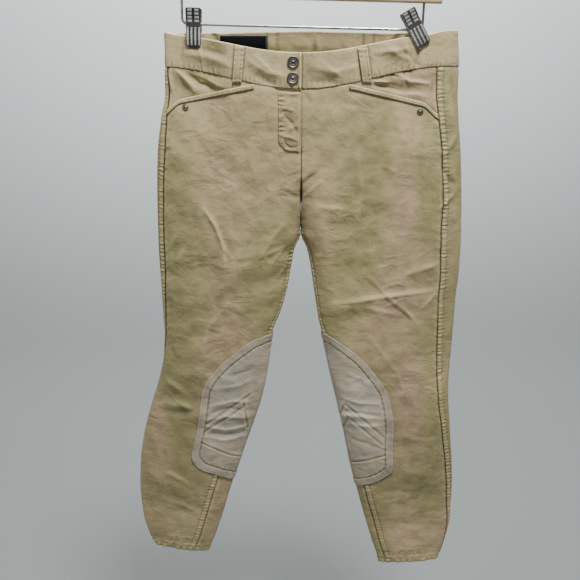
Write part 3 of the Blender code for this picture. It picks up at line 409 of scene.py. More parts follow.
class Leg(Table):
    """One leg of the garment with its half of the hips."""

    def __init__(self, name, sign, hem_z, hem_middle, hem_slope, clip_x, pocket_z, rows):
        super().__init__(LEG_COLUMNS, rows)
        self.name, self.sign, self.clip_x, self.pocket_z = name, sign, clip_x, pocket_z
        self.hem_z, self.hem_middle, self.hem_slope = hem_z, hem_middle, hem_slope

    def inner_end(self, face, z):
        """Distance from the middle where a half section ends: a centre seam or the inner fold."""
        above = self.sign * CENTRE_BACK * smooth((z + 0.44) / 0.20) if face == "back" else 0.0 * z
        return np.where(z < CROTCH_Z, self.at("inner", z), above)

    def ends(self, face, x, z):
        """Distances from the outer fold and from the inner fold or groove."""
        groove = INNER_EASE * np.clip((z - CROTCH_Z) / (GROOVE_TOP[face] - CROTCH_Z), 0, 1) ** 2
        return (np.maximum(self.at("outer", z) - x, 0.0),
                np.maximum(x - self.inner_end(face, z) + np.where(z > CROTCH_Z, groove, 0.0), 0.0))

    @staticmethod
    def rounding(d_outer, d_inner):
        return np.sqrt(1 - (1 - np.minimum(d_outer / FOLD_RADIUS, 1)) ** 2) * np.sqrt(
            1 - (1 - np.minimum(d_inner / FOLD_RADIUS, 1)) ** 2)

    def depth(self, face, x, z):
        """Depth of the cloth's outside from the middle plane at a distance x from the middle."""
        def ease(distance, length):
            return 1 - (1 - np.minimum(distance / length, 1.0)) ** 2
        d_outer, d_inner = self.ends(face, x, z)
        full = self.at(face, z)
        result = FOLD_RADIUS * self.rounding(d_outer, d_inner)
        result = result + (full - FOLD_RADIUS) * ease(d_outer, OUTER_EASE) * ease(d_inner, INNER_EASE)
        open_depth = FOLD_RADIUS + (full - FOLD_RADIUS) * ease(self.at("outer", z) - self.clip_x, OUTER_EASE)
        held = (smooth((PINCH_REACH - abs(x - self.clip_x)) / PINCH_RUN)
                * smooth((z - PINCH_END_Z) / PINCH_FADE))
        return result * (1 - held * (1 - PINCH_DEPTH / open_depth))

    def surface_fade(self, face, x, z):
        """Where surface folds run out: 0 at both folds of the tube, 1 on its faces."""
        d_outer, d_inner = self.ends(face, x, z)
        return self.rounding(d_outer, d_inner) * smooth(d_outer / FOLD_FADE)

    def pocket_mouth(self, x):
        start_z = band_bottom("front", POCKET_START)
        z = start_z + (self.pocket_z - start_z) * (x - POCKET_START) / (POCKET_BEND - POCKET_START)
        turned = self.pocket_z - POCKET_TURN_DOWN * smooth((x - POCKET_BEND) / POCKET_TURN_RUN)
        return np.where(x < POCKET_BEND, z, turned)


RIGHT = Leg("right", -1, -1.0365, 0.210, 0.12, 0.158, -0.2520, RIGHT_ROWS)
LEFT = Leg("left", 1, -1.0630, 0.200, 0.06, 0.166, -0.2560, LEFT_ROWS)
LEGS = (RIGHT, LEFT)


def sag(x):
    return 0.5 * (1 + np.cos(math.pi * np.minimum(abs(x) / SAG_REACH, 1.0)))


def band_top(face, x):
    return -0.1580 - 0.009 * x - TOP_SAG[face] * sag(x) + 5 * MM * smooth((abs(x) - 0.180) / 0.035)


def band_bottom(face, x):
    return -0.2064 - LOW_SAG[face] * sag(x)


def panel_heights(leg, kind, level):
    """A panel's row follows the top edge, then the level, then the hem."""
    def heights(face, x):
        top = band_bottom(face, x) - GAP
        if kind == "front":
            top = np.where(x > POCKET_START, leg.pocket_mouth(x), top)
        fade = smooth((level - LEVEL_FADE) / (FRONT_LEVEL - LEVEL_FADE))
        hem_fade = smooth((leg.hem_z + HEM_FADE - level) / HEM_FADE)
        return level + (top - FRONT_LEVEL) * fade + leg.hem_slope * (x - leg.hem_middle) * hem_fade
    return heights


def unit(vectors):
    return vectors / np.maximum(np.linalg.norm(vectors, axis=-1, keepdims=True), 1e-12)


def blurred(grid, reach):
    """A grid averaged over squares of cells."""
    for axis in (0, 1):
        pad = [(0, 0), (0, 0)]
        pad[axis] = (reach, reach)
        padded, count = np.pad(grid, pad, mode="edge"), grid.shape[axis]
        grid = sum(np.take(padded, np.arange(k, k + count), axis)
                   for k in range(2 * reach + 1)) / (2 * reach + 1)
    return grid


HALF = 110              # steps of half a round
CLOSED = 0.2 * MM       # a round is closed when its ends are nearer than this
RELIEF_SHADE = 0.34             # how much lighter a crest is painted than its surroundings, as highlight, and a hollow darker, as shade, for each millimetre
RUNG_REACH = 0.3        # how near a seam its rungs are counted along it
LAP = 8 * MM            # width of a lapped seam


class Row:
    """One round of cloth, from the front's inner end over the outer fold to the back's."""

    def __init__(self, leg, level, heights):
        front, back = (self._half(leg, face, level, heights) for face in ("front", "back"))
        path = np.concatenate([front[:-1], back[::-1]])
        self.closed = np.linalg.norm(path[0] - path[-1]) < CLOSED
        before, after = np.roll(path, 1, 0), np.roll(path, -1, 0)
        before[0] = path[-2] if self.closed else path[0]
        after[-1] = path[1] if self.closed else path[-1]
        run = after - before
        facing = unit(np.stack([run[:, 1], -run[:, 0], 0 * run[:, 0]], 1) * leg.sign)
        self.length = passed_at(path)[-1]
        if self.closed:
            path, facing = np.concatenate([path, path[1:HALF]]), np.concatenate([facing, facing[1:HALF]])
        self.path, self.facing = path, facing
        self.step = np.linalg.norm(np.diff(path, axis=0), axis=1)
        self.turn = np.arccos(np.clip((facing[1:] * facing[:-1]).sum(1), -1, 1))
        self.arc = np.concatenate([[0.0], np.cumsum(self.step)])
        x, z = abs(path[:HALF + 1, 0]), path[:HALF + 1, 2]
        fronts = self.arc[:HALF + 1]
        self.fold = self.arc[HALF]
        self.outseam = float(np.interp(0.0, x + leg.at("outseam", z) - leg.at("outer", z), fronts))
        self.inseam = 0.0
        if self.closed:
            self.inseam = float(np.interp(0.0, x - leg.at("inner", z) - leg.at("inseam", z), fronts))

    @staticmethod
    def _half(leg, face, level, heights):
        share = (1 - np.cos(math.pi * np.arange(HALF + 1) / HALF)) / 2
        z = np.full(HALF + 1, level)
        for _ in range(2):
            end = leg.inner_end(face, z)
            z = heights(face, end + (leg.at("outer", z) - end) * share)
        end = leg.inner_end(face, z)
        x = end + (leg.at("outer", z) - end) * share
        depth = leg.depth(face, x, z)
        return np.stack([leg.sign * x, -depth if face == "front" else depth, z], 1)

    def front_arc(self, x):
        return float(np.interp(x, abs(self.path[:HALF + 1, 0]), self.arc[:HALF + 1]))

    def back_arc(self, x):
        back = slice(HALF, 2 * HALF + 1)
        return float(np.interp(-x, -abs(self.path[back, 0]), self.arc[back]))

    def sample(self, start, end, columns, crowd=1.4):
        """Arc lengths between two ends, closer together at bends and near both ends."""
        middle = (self.arc[1:] + self.arc[:-1]) / 2
        near = bell(middle - start, 9 * MM) + bell(middle - end, 9 * MM)
        weight = np.concatenate([[0.0], np.cumsum(self.step * (1 + crowd * near) + 10 * MM * self.turn)])
        ends = np.interp([start, end], self.arc, weight)
        arcs = np.interp(np.linspace(*ends, columns + 1), weight, self.arc)
        arcs[0], arcs[-1] = start, end
        return arcs

    def at(self, arcs):
        return tuple(along_line(arcs, self.arc, grid) for grid in (self.path, self.facing))


class Cloth:
    """A grid of places on the garment, dressed with folds, seams, worn places, colour and painted light and
    shade before it is made.
    """

    def __init__(self, points, facing, arcs, leg=None):
        self.points, self.facing, self.arcs, self.leg = points, facing, arcs, leg
        self.start, self.end = arcs - arcs[:, :1], arcs[:, -1:] - arcs
        steps = np.linalg.norm(np.diff(points, axis=0), axis=2)
        self.down = np.concatenate([np.zeros((1, steps.shape[1])), np.cumsum(steps, axis=0)])
        self.up = self.down[-1:] - self.down
        self.height, self.tone, self.tint, self.rungs = (np.zeros(arcs.shape) for _ in range(4))
        self.ladder = self.down.copy()

    @property
    def x(self):
        return self.points[..., 0]

    @property
    def z(self):
        return self.points[..., 2]

    def faces(self):
        """Which places lie on the front, and which on the back."""
        back = self.points[..., 1] > 0
        return ("front", ~back), ("back", back)

    def draw_in(self, near, along, fade=1.0):
        """Rungs where a seam draws the cloth in, counted along the seam."""
        self.rungs = np.maximum(self.rungs, fade * near)
        self.ladder = np.where(near > RUNG_REACH, along, self.ladder)

    def fold(self):
        """Lay the creases of the front and of the back into the cloth."""
        for face, mask in self.faces():
            fade = self.leg.surface_fade(face, abs(self.x), self.z)
            self.height += np.where(mask, relief(face, self.x, self.z) * fade, 0.0)

    def sewn_band(self, distance, along, fade=1.0):
        """A lapped seam: a raised strip beside its edge, puckered between edge and stitches, with a painted
        highlight on the strip and painted shade in its groove and at its edge.
        """
        strip = smooth((LAP + 1.2 * MM - distance) / (2.4 * MM))
        groove = bell(distance - LAP - 0.6 * MM, 1.6 * MM)
        pucker = ripples(along, 11 * MM, 1.7, 31) * strip * smooth(distance / (2 * MM))
        self.height += fade * (0.8 * MM * strip - 0.55 * MM * groove + 0.32 * MM * pucker)
        self.height -= fade * 0.8 * MM * bell(distance, 1.3 * MM)
        self.tone += fade * (0.26 * strip * smooth((distance - 0.5 * MM) / MM) - 0.26 * groove
                             - 0.60 * bell(distance, 1.3 * MM))
        self.draw_in(bell(distance - LAP / 2, LAP), along, fade)

    def plain_seam(self, distance, along, fade=1.0):
        """A seam pressed open: a narrow groove that draws the cloth in a little, with painted shade in the
        groove and a painted highlight beside it.
        """
        self.height -= fade * 1.1 * MM * bell(distance, 1.7 * MM)
        self.height += fade * 0.25 * MM * ripples(along, 14 * MM, 2, 23) * bell(distance - 4 * MM, 5 * MM)
        self.tone -= fade * 0.60 * bell(distance, 1.15 * MM)
        self.tone += fade * 0.14 * bell(distance - 3.5 * MM, 2.5 * MM)

    def settle(self, lift=0.0):
        """Raise the cloth by its folds, with a painted highlight on their crests and painted shade in their
        hollows.
        """
        crest = np.clip((self.height - blurred(self.height, 4)) / MM, -1.3, 1.3)
        self.tone = self.tone + RELIEF_SHADE * crest
        self.points = self.points + self.facing * (self.height + lift)[..., None]

    def area(self):
        rows = np.diff(self.points, axis=1)[:-1]
        falls = np.diff(self.points, axis=0)[:, :-1]
        return float(np.linalg.norm(np.cross(rows, falls), axis=2).sum())

    def line(self, distance, keep=slice(None)):
        """Points and facings at a distance from the start (> 0) or from the end (< 0) of each row."""
        found = []
        for arcs, points, facing in zip(self.arcs, self.points, self.facing):
            arc = arcs[0] + distance if distance >= 0 else arcs[-1] + distance
            found.append([along_line(arc, arcs, grid) for grid in (points, facing)])
        found = np.array(found)[keep]
        return found[:, 0], unit(found[:, 1])

    def level_line(self, row, keep=slice(None)):
        return self.points[row][keep], self.facing[row][keep]


def row_cloth(leg, rows, arcs):
    """A Cloth between two ends of each row."""
    laid = [row.at(run) for row, run in zip(rows, arcs)]
    facing = unit(np.stack([facing for _, facing in laid]))
    return Cloth(np.stack([points for points, _ in laid]), facing, np.stack(arcs), leg)


# ---------------------------------------------------------------- folds
# from x, z, to x, z, width and height of the broad folds that the solids have too
BROAD_FOLDS = {
    "front": [
        (-150, -415, -112, -530, 16, 2.8), (-112, -530, -100, -500, 14, 1.8),
        (-190, -480, -150, -520, 18, -1), (-80, -500, -30, -440, 14, 2.4), (-70, -530, -25, -520, 14, -2.2),
        (-185, -300, -120, -340, 20, -2), (-190, -690, -130, -700, 18, 2), (-235, -735, -165, -738, 14, -1.4),
        (-160, -770, -100, -765, 14, 2), (-235, -890, -200, -905, 18, 2), (60, -575, 205, -552, 14, 2.4),
        (90, -530, 180, -610, 15, -0.5), (30, -415, 75, -420, 14, 1.6), (5, -385, 40, -345, 14, -1),
        (170, -300, 150, -430, 22, -2), (160, -520, 205, -505, 14, 1.6), (110, -740, 230, -750, 15, -0.8),
        (150, -860, 215, -885, 18, 1.8),
    ],
    "back": [
        (-150, -300, -40, -420, 22, 2.8), (170, -310, 70, -410, 22, 2.8), (-190, -440, -60, -480, 18, -2.6),
        (210, -445, 60, -470, 18, -2.4), (-200, -560, -80, -535, 17, 2.2), (200, -600, 90, -560, 17, 2.2),
        (-230, -720, -110, -705, 15, -2.8), (-240, -755, -120, -750, 15, 2.2),
        (220, -730, 95, -715, 15, -2.8), (225, -770, 110, -765, 15, 2), (-250, -880, -180, -900, 17, 1.8),
        (235, -890, 150, -905, 17, 1.8),
    ],
}
# width, height (a share of CREASE_RISE) and the places that a smaller crease runs through
CREASES = {
    "front": [
        (4, 2.1, (-149, -413), (-133, -438), (-125, -460), (-120, -474), (-119, -511)),
        (4, 1, (-121, -473), (-109, -489)), (4, 1, (-65, -491), (-48, -466), (-27, -438)),
        (3, -0.8, (-60, -478), (-40, -458)), (4, 0.9, (-65, -491), (-24, -474)),
        (4, -0.8, (-105, -500), (-72, -495)), (4, 0.8, (-49, -504), (-25, -476)),
        (4, 0.7, (-36, -525), (-22, -507)), (5, 0.8, (-195, -500), (-181, -474)),
        (5, 0.7, (-206, -476), (-194, -455)), (7, -0.5, (-252, -758), (-210, -759), (-170, -757)),
        (9, 1, (-235, -744), (-205, -747), (-180, -749)), (7, 1.2, (-225, -703), (-196, -720)),
        (6, 1, (-212, -736), (-183, -755)), (5, 1, (-231, -874), (-212, -884), (-194, -898)),
        (4, 1.4, (56, -567), (95, -562), (134, -555), (216, -544)), (5, 0.8, (106, -575), (165, -588)),
        (3, -0.35, (89, -516), (126, -551), (186, -602)), (3, 0.8, (112, -528), (150, -566), (180, -590)),
        (4, 0.8, (164, -573), (188, -602)), (4, 0.8, (194, -575), (216, -549)),
        (5, 0.8, (23, -411), (64, -414)), (5, 0.9, (167, -518), (215, -502)), (4, -1, (1, -376), (25, -357)),
        (5, 0.9, (3, -396), (30, -372)), (4, -0.9, (-2, -396), (-30, -384)), (4, -0.8, (3, -241), (15, -259)),
        (6, 0.9, (-177, -212), (-163, -229), (-149, -243)), (6, -0.9, (-162, -218), (-114, -240)),
        (7, -1, (114, -224), (166, -241)), (5, 0.8, (130, -216), (178, -236)),
        (4, 1.4, (212, -414), (236, -390)), (9, -1, (206, -335), (218, -362)),
        (4, -1, (219, -219), (224, -240), (228, -261)), (9, 0.3, (-80, -330), (-60, -395), (-55, -440)),
        (5, 1.4, (216, -330), (224, -318), (236, -300)), (4, -1.2, (214, -352), (226, -372), (240, -378)),
        (6, 1.2, (222, -250), (228, -285), (238, -300)), (9, 0.7, (80, -300), (92, -380), (86, -450)),
        (7, 0.7, (-110, -560), (-150, -610), (-160, -660)), (8, 0.7, (110, -620), (160, -690), (180, -740)),
        (6, 0.4, (165, -800), (205, -815), (240, -812)), (6, -0.35, (150, -905), (190, -915), (225, -905)),
        (6, 0.8, (-240, -930), (-205, -940), (-175, -958)), (6, -0.3, (170, -975), (205, -985), (235, -978)),
    ],
    "back": [
        (5, 1.2, (-150, -430), (-110, -452), (-60, -466)), (5, -1.1, (-120, -470), (-80, -482), (-45, -478)),
        (5, 1.2, (180, -425), (120, -448), (60, -462)), (5, -1, (140, -468), (85, -480), (45, -474)),
        (8, 0.9, (-60, -260), (-75, -320), (-70, -380)), (8, 0.9, (130, -265), (145, -330), (130, -385)),
        (5, 0.9, (-200, -520), (-150, -548), (-120, -590)), (5, -0.8, (190, -530), (140, -560), (110, -600)),
        (5, 1.3, (-225, -700), (-180, -712), (-120, -700)),
        (5, -1.2, (-240, -735), (-190, -728), (-130, -732)),
        (5, 1.1, (-235, -775), (-190, -785), (-150, -780)), (5, 1.2, (220, -705), (170, -700), (110, -712)),
        (5, -1.2, (232, -742), (180, -748), (115, -738)), (5, 1, (235, -785), (190, -778), (140, -790)),
        (6, 0.9, (-245, -860), (-210, -872), (-180, -890)), (6, -0.8, (240, -850), (200, -868), (160, -862)),
        (6, 0.8, (225, -960), (195, -970), (160, -960)), (6, 0.8, (-250, -950), (-215, -965), (-180, -955)),
    ],
}
# length of a slow wave in metres, its direction in degrees, its height in millimetres and its phase
WAVES = [(0.115, 14, 0.50, 0.4), (0.083, 71, 0.55, 2.1), (0.061, -38, 0.50, 4.4), (0.047, 52, 0.42, 1.3),
         (0.036, -66, 0.34, 5.2), (0.027, 23, 0.25, 3.0), (0.021, -12, 0.17, 0.9), (0.016, 84, 0.12, 2.7)]
CREASE_RISE = 1.9
BACK_PHASE = 1.9        # the slow waves of the back aren't those of the front


def from_line(x, z, places):
    """Distance from a line through places, and the share of its length that has been passed."""
    places = np.array(places)
    runs, passed = np.diff(places, axis=0), passed_at(places)
    lengths = np.linalg.norm(runs, axis=1)
    best = np.full(np.shape(x), 1e9)
    share = np.zeros(np.shape(x))
    for (x0, z0), (run_x, run_z), length, before in zip(places, runs, lengths, passed):
        along = np.clip(((x - x0) * run_x + (z - z0) * run_z) / length ** 2, 0, 1)
        distance = np.hypot(x - x0 - along * run_x, z - z0 - along * run_z)
        closer = distance < best
        best = np.where(closer, distance, best)
        share = np.where(closer, (before + along * length) / passed[-1], share)
    return best, share


def creased(x, z, width, height, *places):
    """One crease: sharp at its crest, soft beside it, and run out at both ends."""
    distance, share = from_line(x, z, np.array(places) * MM)
    body = 0.25 + 0.75 * np.sin(math.pi * np.clip(share, 0, 1)) ** 0.7
    section = 0.55 * bell(distance, width * MM) + 0.45 * bell(distance, 0.42 * width * MM)
    return CREASE_RISE * height * MM * body * section


def all_creased(x, z, creases):
    return sum(creased(x, z, *crease) for crease in creases)


def relief(face, x, z):
    """Height of all the folds of a face at garment places x, z."""
    total = all_creased(x, z, CREASES[face])
    for x0, z0, x1, z1, width, height in np.array(BROAD_FOLDS[face]) * MM:
        length = math.hypot(x1 - x0, z1 - z0)
        along = ((x - x0) * (x1 - x0) + (z - z0) * (z1 - z0)) / length
        across = ((x - x0) * (z1 - z0) - (z - z0) * (x1 - x0)) / length
        past = np.maximum(np.maximum(-along, along - length), 0.0)
        total += height * bell(across, width) * bell(past, 1.5 * width)
    turn = 0.0 if face == "front" else BACK_PHASE
    for length, degrees, height, phase in WAVES:
        way = math.radians(degrees)
        beside = x * math.sin(way) - z * math.cos(way)
        bend = 0.6 * np.sin(beside * 4.1 / length + 2.3 * phase)
        swell = 0.55 + 0.45 * np.sin(beside * 2.3 / length + (x + z) * 19 + 1.7 * phase)
        total += swell * height * MM * np.sin((x * math.cos(way) + z * math.sin(way)) * 2 * math.pi / length
                                              + phase + turn + bend)
    return total


# x, z, half width, half height and strength of places that are lighter, or pinker in the tint; the lighter
# and darker places of band, suede and tone are partly faded cloth and partly painted light and shade, such as
# the darker lower legs and a painted shadow beside the fly's foot
FADES_AND_SHADES = {
    "band": [
        (-50, -215, 35, 30, -0.2), (8, -210, 12, 40, -0.28), (-130, -195, 30, 15, -0.12),
        (140, -195, 30, 20, -0.14), (190, -190, 20, 20, 0.12), (-190, -190, 20, 30, 0.1),
        (45, -200, 25, 30, -0.26),
    ],
    "suede": [
        (85, -690, 50, 60, 0.26), (120, -860, 60, 40, -0.18), (110, -772, 40, 25, 0.42),
        (-115, -745, 50, 25, -0.14), (-120, -800, 40, 30, 0.12), (-90, -660, 50, 30, -0.06),
        (-130, -860, 50, 30, -0.05),
    ],
    "tone": [
        (-70, -330, 90, 100, 0.07), (80, -380, 90, 120, 0.08), (-200, -600, 40, 120, -0.1),
        (200, -470, 50, 100, -0.06), (-210, -860, 50, 120, -0.09), (190, -920, 60, 100, -0.08),
        (120, -560, 80, 70, 0.24), (-170, -400, 40, 90, -0.04), (0, -280, 50, 40, 0.06),
        (-220, -800, 120, 200, -0.16), (200, -880, 120, 160, -0.16), (-230, -710, 30, 30, -0.16),
        (210, -1020, 80, 70, 0.48), (220, -700, 40, 60, 0.34), (-45, -480, 30, 60, 0.12),
        (-110, -290, 40, 20, -0.14), (-130, -250, 40, 20, -0.08), (160, -290, 40, 20, -0.12),
        (100, -420, 35, 80, -0.04), (-210, -1000, 70, 60, 0.28), (-100, -380, 60, 100, 0.1),
        (-48, -305, 14, 14, -0.18), (-240, -800, 30, 80, 0.04), (225, -867, 30, 60, -0.14),
        (-235, -682, 30, 30, -0.12), (235, -700, 30, 50, 0.14), (207, -1000, 40, 40, 0.16),
        (-235, -1000, 40, 40, 0.16), (-133, -442, 30, 50, 0.1), (143, -405, 30, 50, 0.08),
        (40, -380, 30, 100, 0.1), (200, -340, 20, 80, 0.08), (0, -360, 30, 30, -0.1), (50, -620, 30, 60, 0.1),
        (-30, -600, 20, 60, 0.08),
    ],
    "tint": [
        (-218, -500, 30, 200, -0.6), (-55, -560, 30, 80, -0.7), (-190, -420, 30, 150, -0.85),
        (-110, -380, 40, 140, 0.6), (-190, -620, 40, 100, -0.45), (-130, -580, 40, 90, 0.5),
        (197, -360, 20, 100, -1.3), (162, -380, 25, 120, 0.75), (100, -430, 35, 90, -0.55),
        (35, -440, 30, 120, 0.45), (70, -560, 50, 50, -0.35), (150, -570, 50, 60, 0.6),
        (180, -730, 25, 80, 0.9), (235, -770, 30, 80, -0.7), (-240, -820, 30, 90, 0.6),
        (-190, -860, 30, 80, -0.45), (210, -1010, 60, 60, 0.75), (235, -700, 30, 40, 0.55),
        (-235, -1000, 40, 50, 0.45), (190, -900, 60, 80, -0.35), (-190, -970, 50, 60, 0.15),
        (-40, -490, 30, 70, -0.8), (-130, -260, 30, 30, 0.45), (220, -660, 30, 70, -0.4),
    ],
}


# Sum of the places of one kind at x, z: for band, suede and tone this is partly fading and partly painted
# light and shade.
def fade(kind, x, z):
    return sum(strength * np.exp(-((x / MM - x0) / wide) ** 2 - ((z / MM - z0) / tall) ** 2)
               for x0, z0, wide, tall, strength in FADES_AND_SHADES[kind])


# ---------------------------------------------------------------- making pieces
LEAST_CUT, LEAST_SHARE = 10 * MM, 0.31      # smallest side of a cut, and share of its rectangle
CLOTHS = {}


def meshed(name, bm):
    mesh = bpy.data.meshes.new(name)
    bm.to_mesh(mesh)
    bm.free()
    return mesh


def placed_object(name, data):
    thing = bpy.data.objects.new(name, data)
    bpy.context.scene.collection.objects.link(thing)
    return thing


def flat_places(mesh):
    found = np.empty(len(mesh.vertices) * 3)
    mesh.vertices.foreach_get("co", found)
    return found.reshape(-1, 3)


def grid_mesh(name, points, uv, attributes, outward):
    """A grid bent to its places, with its lengths as UVs and its painted light and shade and colour marks as
    attributes.
    """
    rows, columns = points.shape[:2]
    bm = bmesh.new()
    bmesh.ops.create_grid(bm, x_segments=columns - 1, y_segments=rows - 1, size=0.5)
    mesh = meshed(name, bm)
    flat = flat_places(mesh)
    j = np.rint((flat[:, 0] + 0.5) * (columns - 1)).astype(int)
    i = np.rint((0.5 - flat[:, 1]) * (rows - 1)).astype(int)
    placed = points + np.array([GARMENT_X, 0, 0])
    mesh.vertices.foreach_set("co", placed[i, j].ravel())
    corners = np.empty(len(mesh.loops), dtype=int)
    mesh.loops.foreach_get("vertex_index", corners)
    mesh.uv_layers.new(name="cloth").data.foreach_set("uv", uv[i, j][corners].ravel())
    for key, values in attributes.items():
        mesh.attributes.new(key, "FLOAT", "POINT").data.foreach_set("value", values[i, j].astype(float))
    row, column = rows // 2, columns // 2
    across = placed[row, column + 1] - placed[row, column - 1]
    down = placed[row + 1, column] - placed[row - 1, column]
    if np.dot(np.cross(down, across), outward[row, column]) < 0:
        mesh.flip_normals()
    mesh.update()
    return mesh


def show(mesh, finish, nodes, wall=0.0):
    """Put a finished mesh in the scene, on the frame, in place of its CAD nodes."""
    mesh.materials.append(finishes()[finish])
    mesh.shade_smooth()
    thing = placed_object(mesh.name, mesh)
    if wall:
        shell = thing.modifiers.new("wall", "SOLIDIFY")
        shell.thickness, shell.offset, shell.use_even_offset = wall, -1.0, False
    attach(thing, "root")
    if nodes:
        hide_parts(*nodes)
    return thing


def lay(node, cloth, finish, wall, kind="cloth"):
    """Show a sheet in place of its node; its longest run, its widest run and its true area are worked out but
    not kept.
    """
    name = f"{node}_{kind}"
    CLOTHS[name] = cloth
    uv = np.stack([cloth.arcs, -cloth.down], 2)
    painted_light_and_marks = {key: getattr(cloth, key) for key in ("tone", "tint", "rungs", "ladder")}
    thing = show(grid_mesh(name, cloth.points, uv, painted_light_and_marks, cloth.facing), finish, [node], wall)
    lengths = (np.linalg.norm(np.diff(cloth.points, axis=axis), axis=2).sum(axis) for axis in (1, 0))
    width, length = (max(float(runs.max()), LEAST_CUT) for runs in lengths)
    max(min(cloth.area(), width * length), LEAST_SHARE * width * length)


class Ground:
    """What is sewn or laid on is seated on the outside of the pieces that are already made."""

    def __init__(self, *names):
        graph = bpy.context.evaluated_depsgraph_get()
        graph.update()
        self.trees = [BVHTree.FromObject(bpy.data.objects[name], graph) for name in names]

    def seat(self, x, z, facing):
        """The outermost place at garment x, z, and its outward direction, in garment places."""
        start = Vector((x + GARMENT_X, 0, z)) + facing * 0.1
        found = [(hit[3], hit[0], hit[1]) for hit in (tree.ray_cast(start, -facing) for tree in self.trees)
                 if hit[0] is not None]
        if not found:
            raise RuntimeError(f"nothing lies at {x:.4f}, {z:.4f}")
        _, place, normal = min(found, key=lambda hit: hit[0])
        if normal.dot(facing) < 0:
            normal = -normal
        return place - Vector((GARMENT_X, 0, 0)), normal

    def line(self, places, facing, pitch=2 * MM):
        """Seats along a line through garment places x, z."""
        places = np.array(places)
        passed = passed_at(places)
        steps = np.linspace(0, passed[-1], max(int(passed[-1] / pitch), 1) + 1)
        found = [self.seat(np.interp(s, passed, places[:, 0]), np.interp(s, passed, places[:, 1]), facing)
                 for s in steps]
        return np.array([p for p, _ in found]), np.array([n for _, n in found])


FORWARD, BACKWARD = Vector((0, -1, 0)), Vector((0, 1, 0))
OUTWARD = {"front": FORWARD, "back": BACKWARD}


def step_cloth(ground, grid, facing, lifts):
    """A Cloth over a grid of (x, z) places, each raised off the ground by its lift."""
    rows, columns = grid.shape[:2]
    seats = [ground.seat(x, z, facing) for x, z in grid.reshape(-1, 2)]
    points = np.array([p for p, _ in seats]).reshape(rows, columns, 3) + np.array(facing) * lifts[..., None]
    return Cloth(points, np.tile(np.array(facing), (rows, columns, 1)),
                 np.stack([passed_at(row) for row in points]))


# ---------------------------------------------------------------- fronts and backs
ROW_STEP = 2.9 * MM
PANEL_COLUMNS = {"front": 114, "back": 92}
HEM = 17 * MM


def panel_rows(leg, kind):
    above = round((FRONT_LEVEL - CROTCH_Z) / ROW_STEP)
    below = round((CROTCH_Z - leg.hem_z) / ROW_STEP)
    levels = np.concatenate([np.linspace(FRONT_LEVEL, CROTCH_Z, above, endpoint=False),
                             np.linspace(CROTCH_Z, leg.hem_z, below + 1)])
    return [Row(leg, level, panel_heights(leg, kind, level)) for level in levels]


def turned_hem(cloth):
    """The hem is turned up inside and stitched all round."""
    pucker = ripples(cloth.arcs, 12 * MM, 1.5, 37)
    turned = smooth((HEM + MM - cloth.up) / (2 * MM))
    cloth.height += (0.5 * MM * turned - 0.45 * MM * bell(cloth.up - HEM, 1.8 * MM)
                     - 0.5 * MM * bell(cloth.up, MM))
    cloth.height += 0.25 * MM * pucker * bell(cloth.up - HEM / 2, HEM)
    ragged = np.sin(cloth.arcs * 410 + 2 * np.sin(cloth.arcs * 130))
    cloth.height += 0.9 * MM * ragged * bell(cloth.up, 6 * MM)
    # The frayed edge is lighter with wear; the groove at the top of the hem is painted shade, and the turned
    # strip just below it has a painted highlight.
    cloth.tone += (0.42 + 0.22 * ragged) * bell(cloth.up, 3.2 * MM) - 0.40 * bell(cloth.up - HEM, 1.8 * MM)
    cloth.tone += 0.14 * bell(cloth.up - HEM + 4 * MM, 3 * MM)
    cloth.draw_in(bell(cloth.up - HEM, 7 * MM), cloth.arcs)


def panel(leg, kind):
    rows = panel_rows(leg, kind)
    ends = [(row.inseam + SEAM / 2, row.outseam - SEAM / 2) if kind == "front" else
            (row.outseam + SEAM / 2, row.length + (row.inseam if row.closed else 0.0) - SEAM / 2)
            for row in rows]
    cloth = row_cloth(leg, rows, [row.sample(a, b, PANEL_COLUMNS[kind]) for row, (a, b) in zip(rows, ends)])
    cloth.fold()
    leg_part = smooth((CROTCH_Z + 0.01 - cloth.z) / 0.02)
    inner, outer = (cloth.start, cloth.end) if kind == "front" else (cloth.end, cloth.start)
    if kind == "front":
        cloth.sewn_band(inner, cloth.down, fade=leg_part)
        cloth.plain_seam(inner, cloth.down, fade=(1 - leg_part) * smooth((-0.318 - cloth.z) / 0.01))
        cloth.plain_seam(outer, cloth.down)
    else:
        cloth.sewn_band(outer, cloth.down)
        cloth.plain_seam(inner, cloth.down, fade=leg_part)
        if leg is LEFT:
            cloth.sewn_band(inner, cloth.down, fade=1 - leg_part)
        else:
            cloth.plain_seam(inner, cloth.down, fade=1 - leg_part)
    # Below the waistband seam: a dent, and painted shade beneath the band.
    cloth.height -= 1.0 * MM * bell(cloth.down, 3 * MM)
    cloth.tone -= 0.62 * bell(cloth.down, 1.8 * MM)
    # Painted shade in the gap between the legs, widening downwards.
    parting = 3 * MM + np.maximum(-0.40 - cloth.z, 0.0) * 0.10
    cloth.tone -= 0.7 * bell(cloth.x, parting) * smooth((-0.355 - cloth.z) / 0.05)
    if kind == "front":
        # On the left front, a painted shadow of the fly flap along the inner edge above the fly's foot.
        if leg is LEFT:
            cloth.tone -= 0.40 * bell(inner, 2.2 * MM) * smooth((cloth.z + 0.335) / 0.01)
        # Beneath each welt: a dent and a painted shadow.
        below_welt = (smooth((abs(cloth.x) - POCKET_START) / (4 * MM))
                      * bell(cloth.down - WELT - 0.2 * MM, 1.7 * MM))
        cloth.height -= 0.8 * MM * below_welt
        cloth.tone -= 0.80 * below_welt
    turned_hem(cloth)
    cloth.tone += fade("tone", cloth.x, cloth.z)
    cloth.tint += fade("tint", cloth.x, cloth.z)
    cloth.settle()
    return cloth


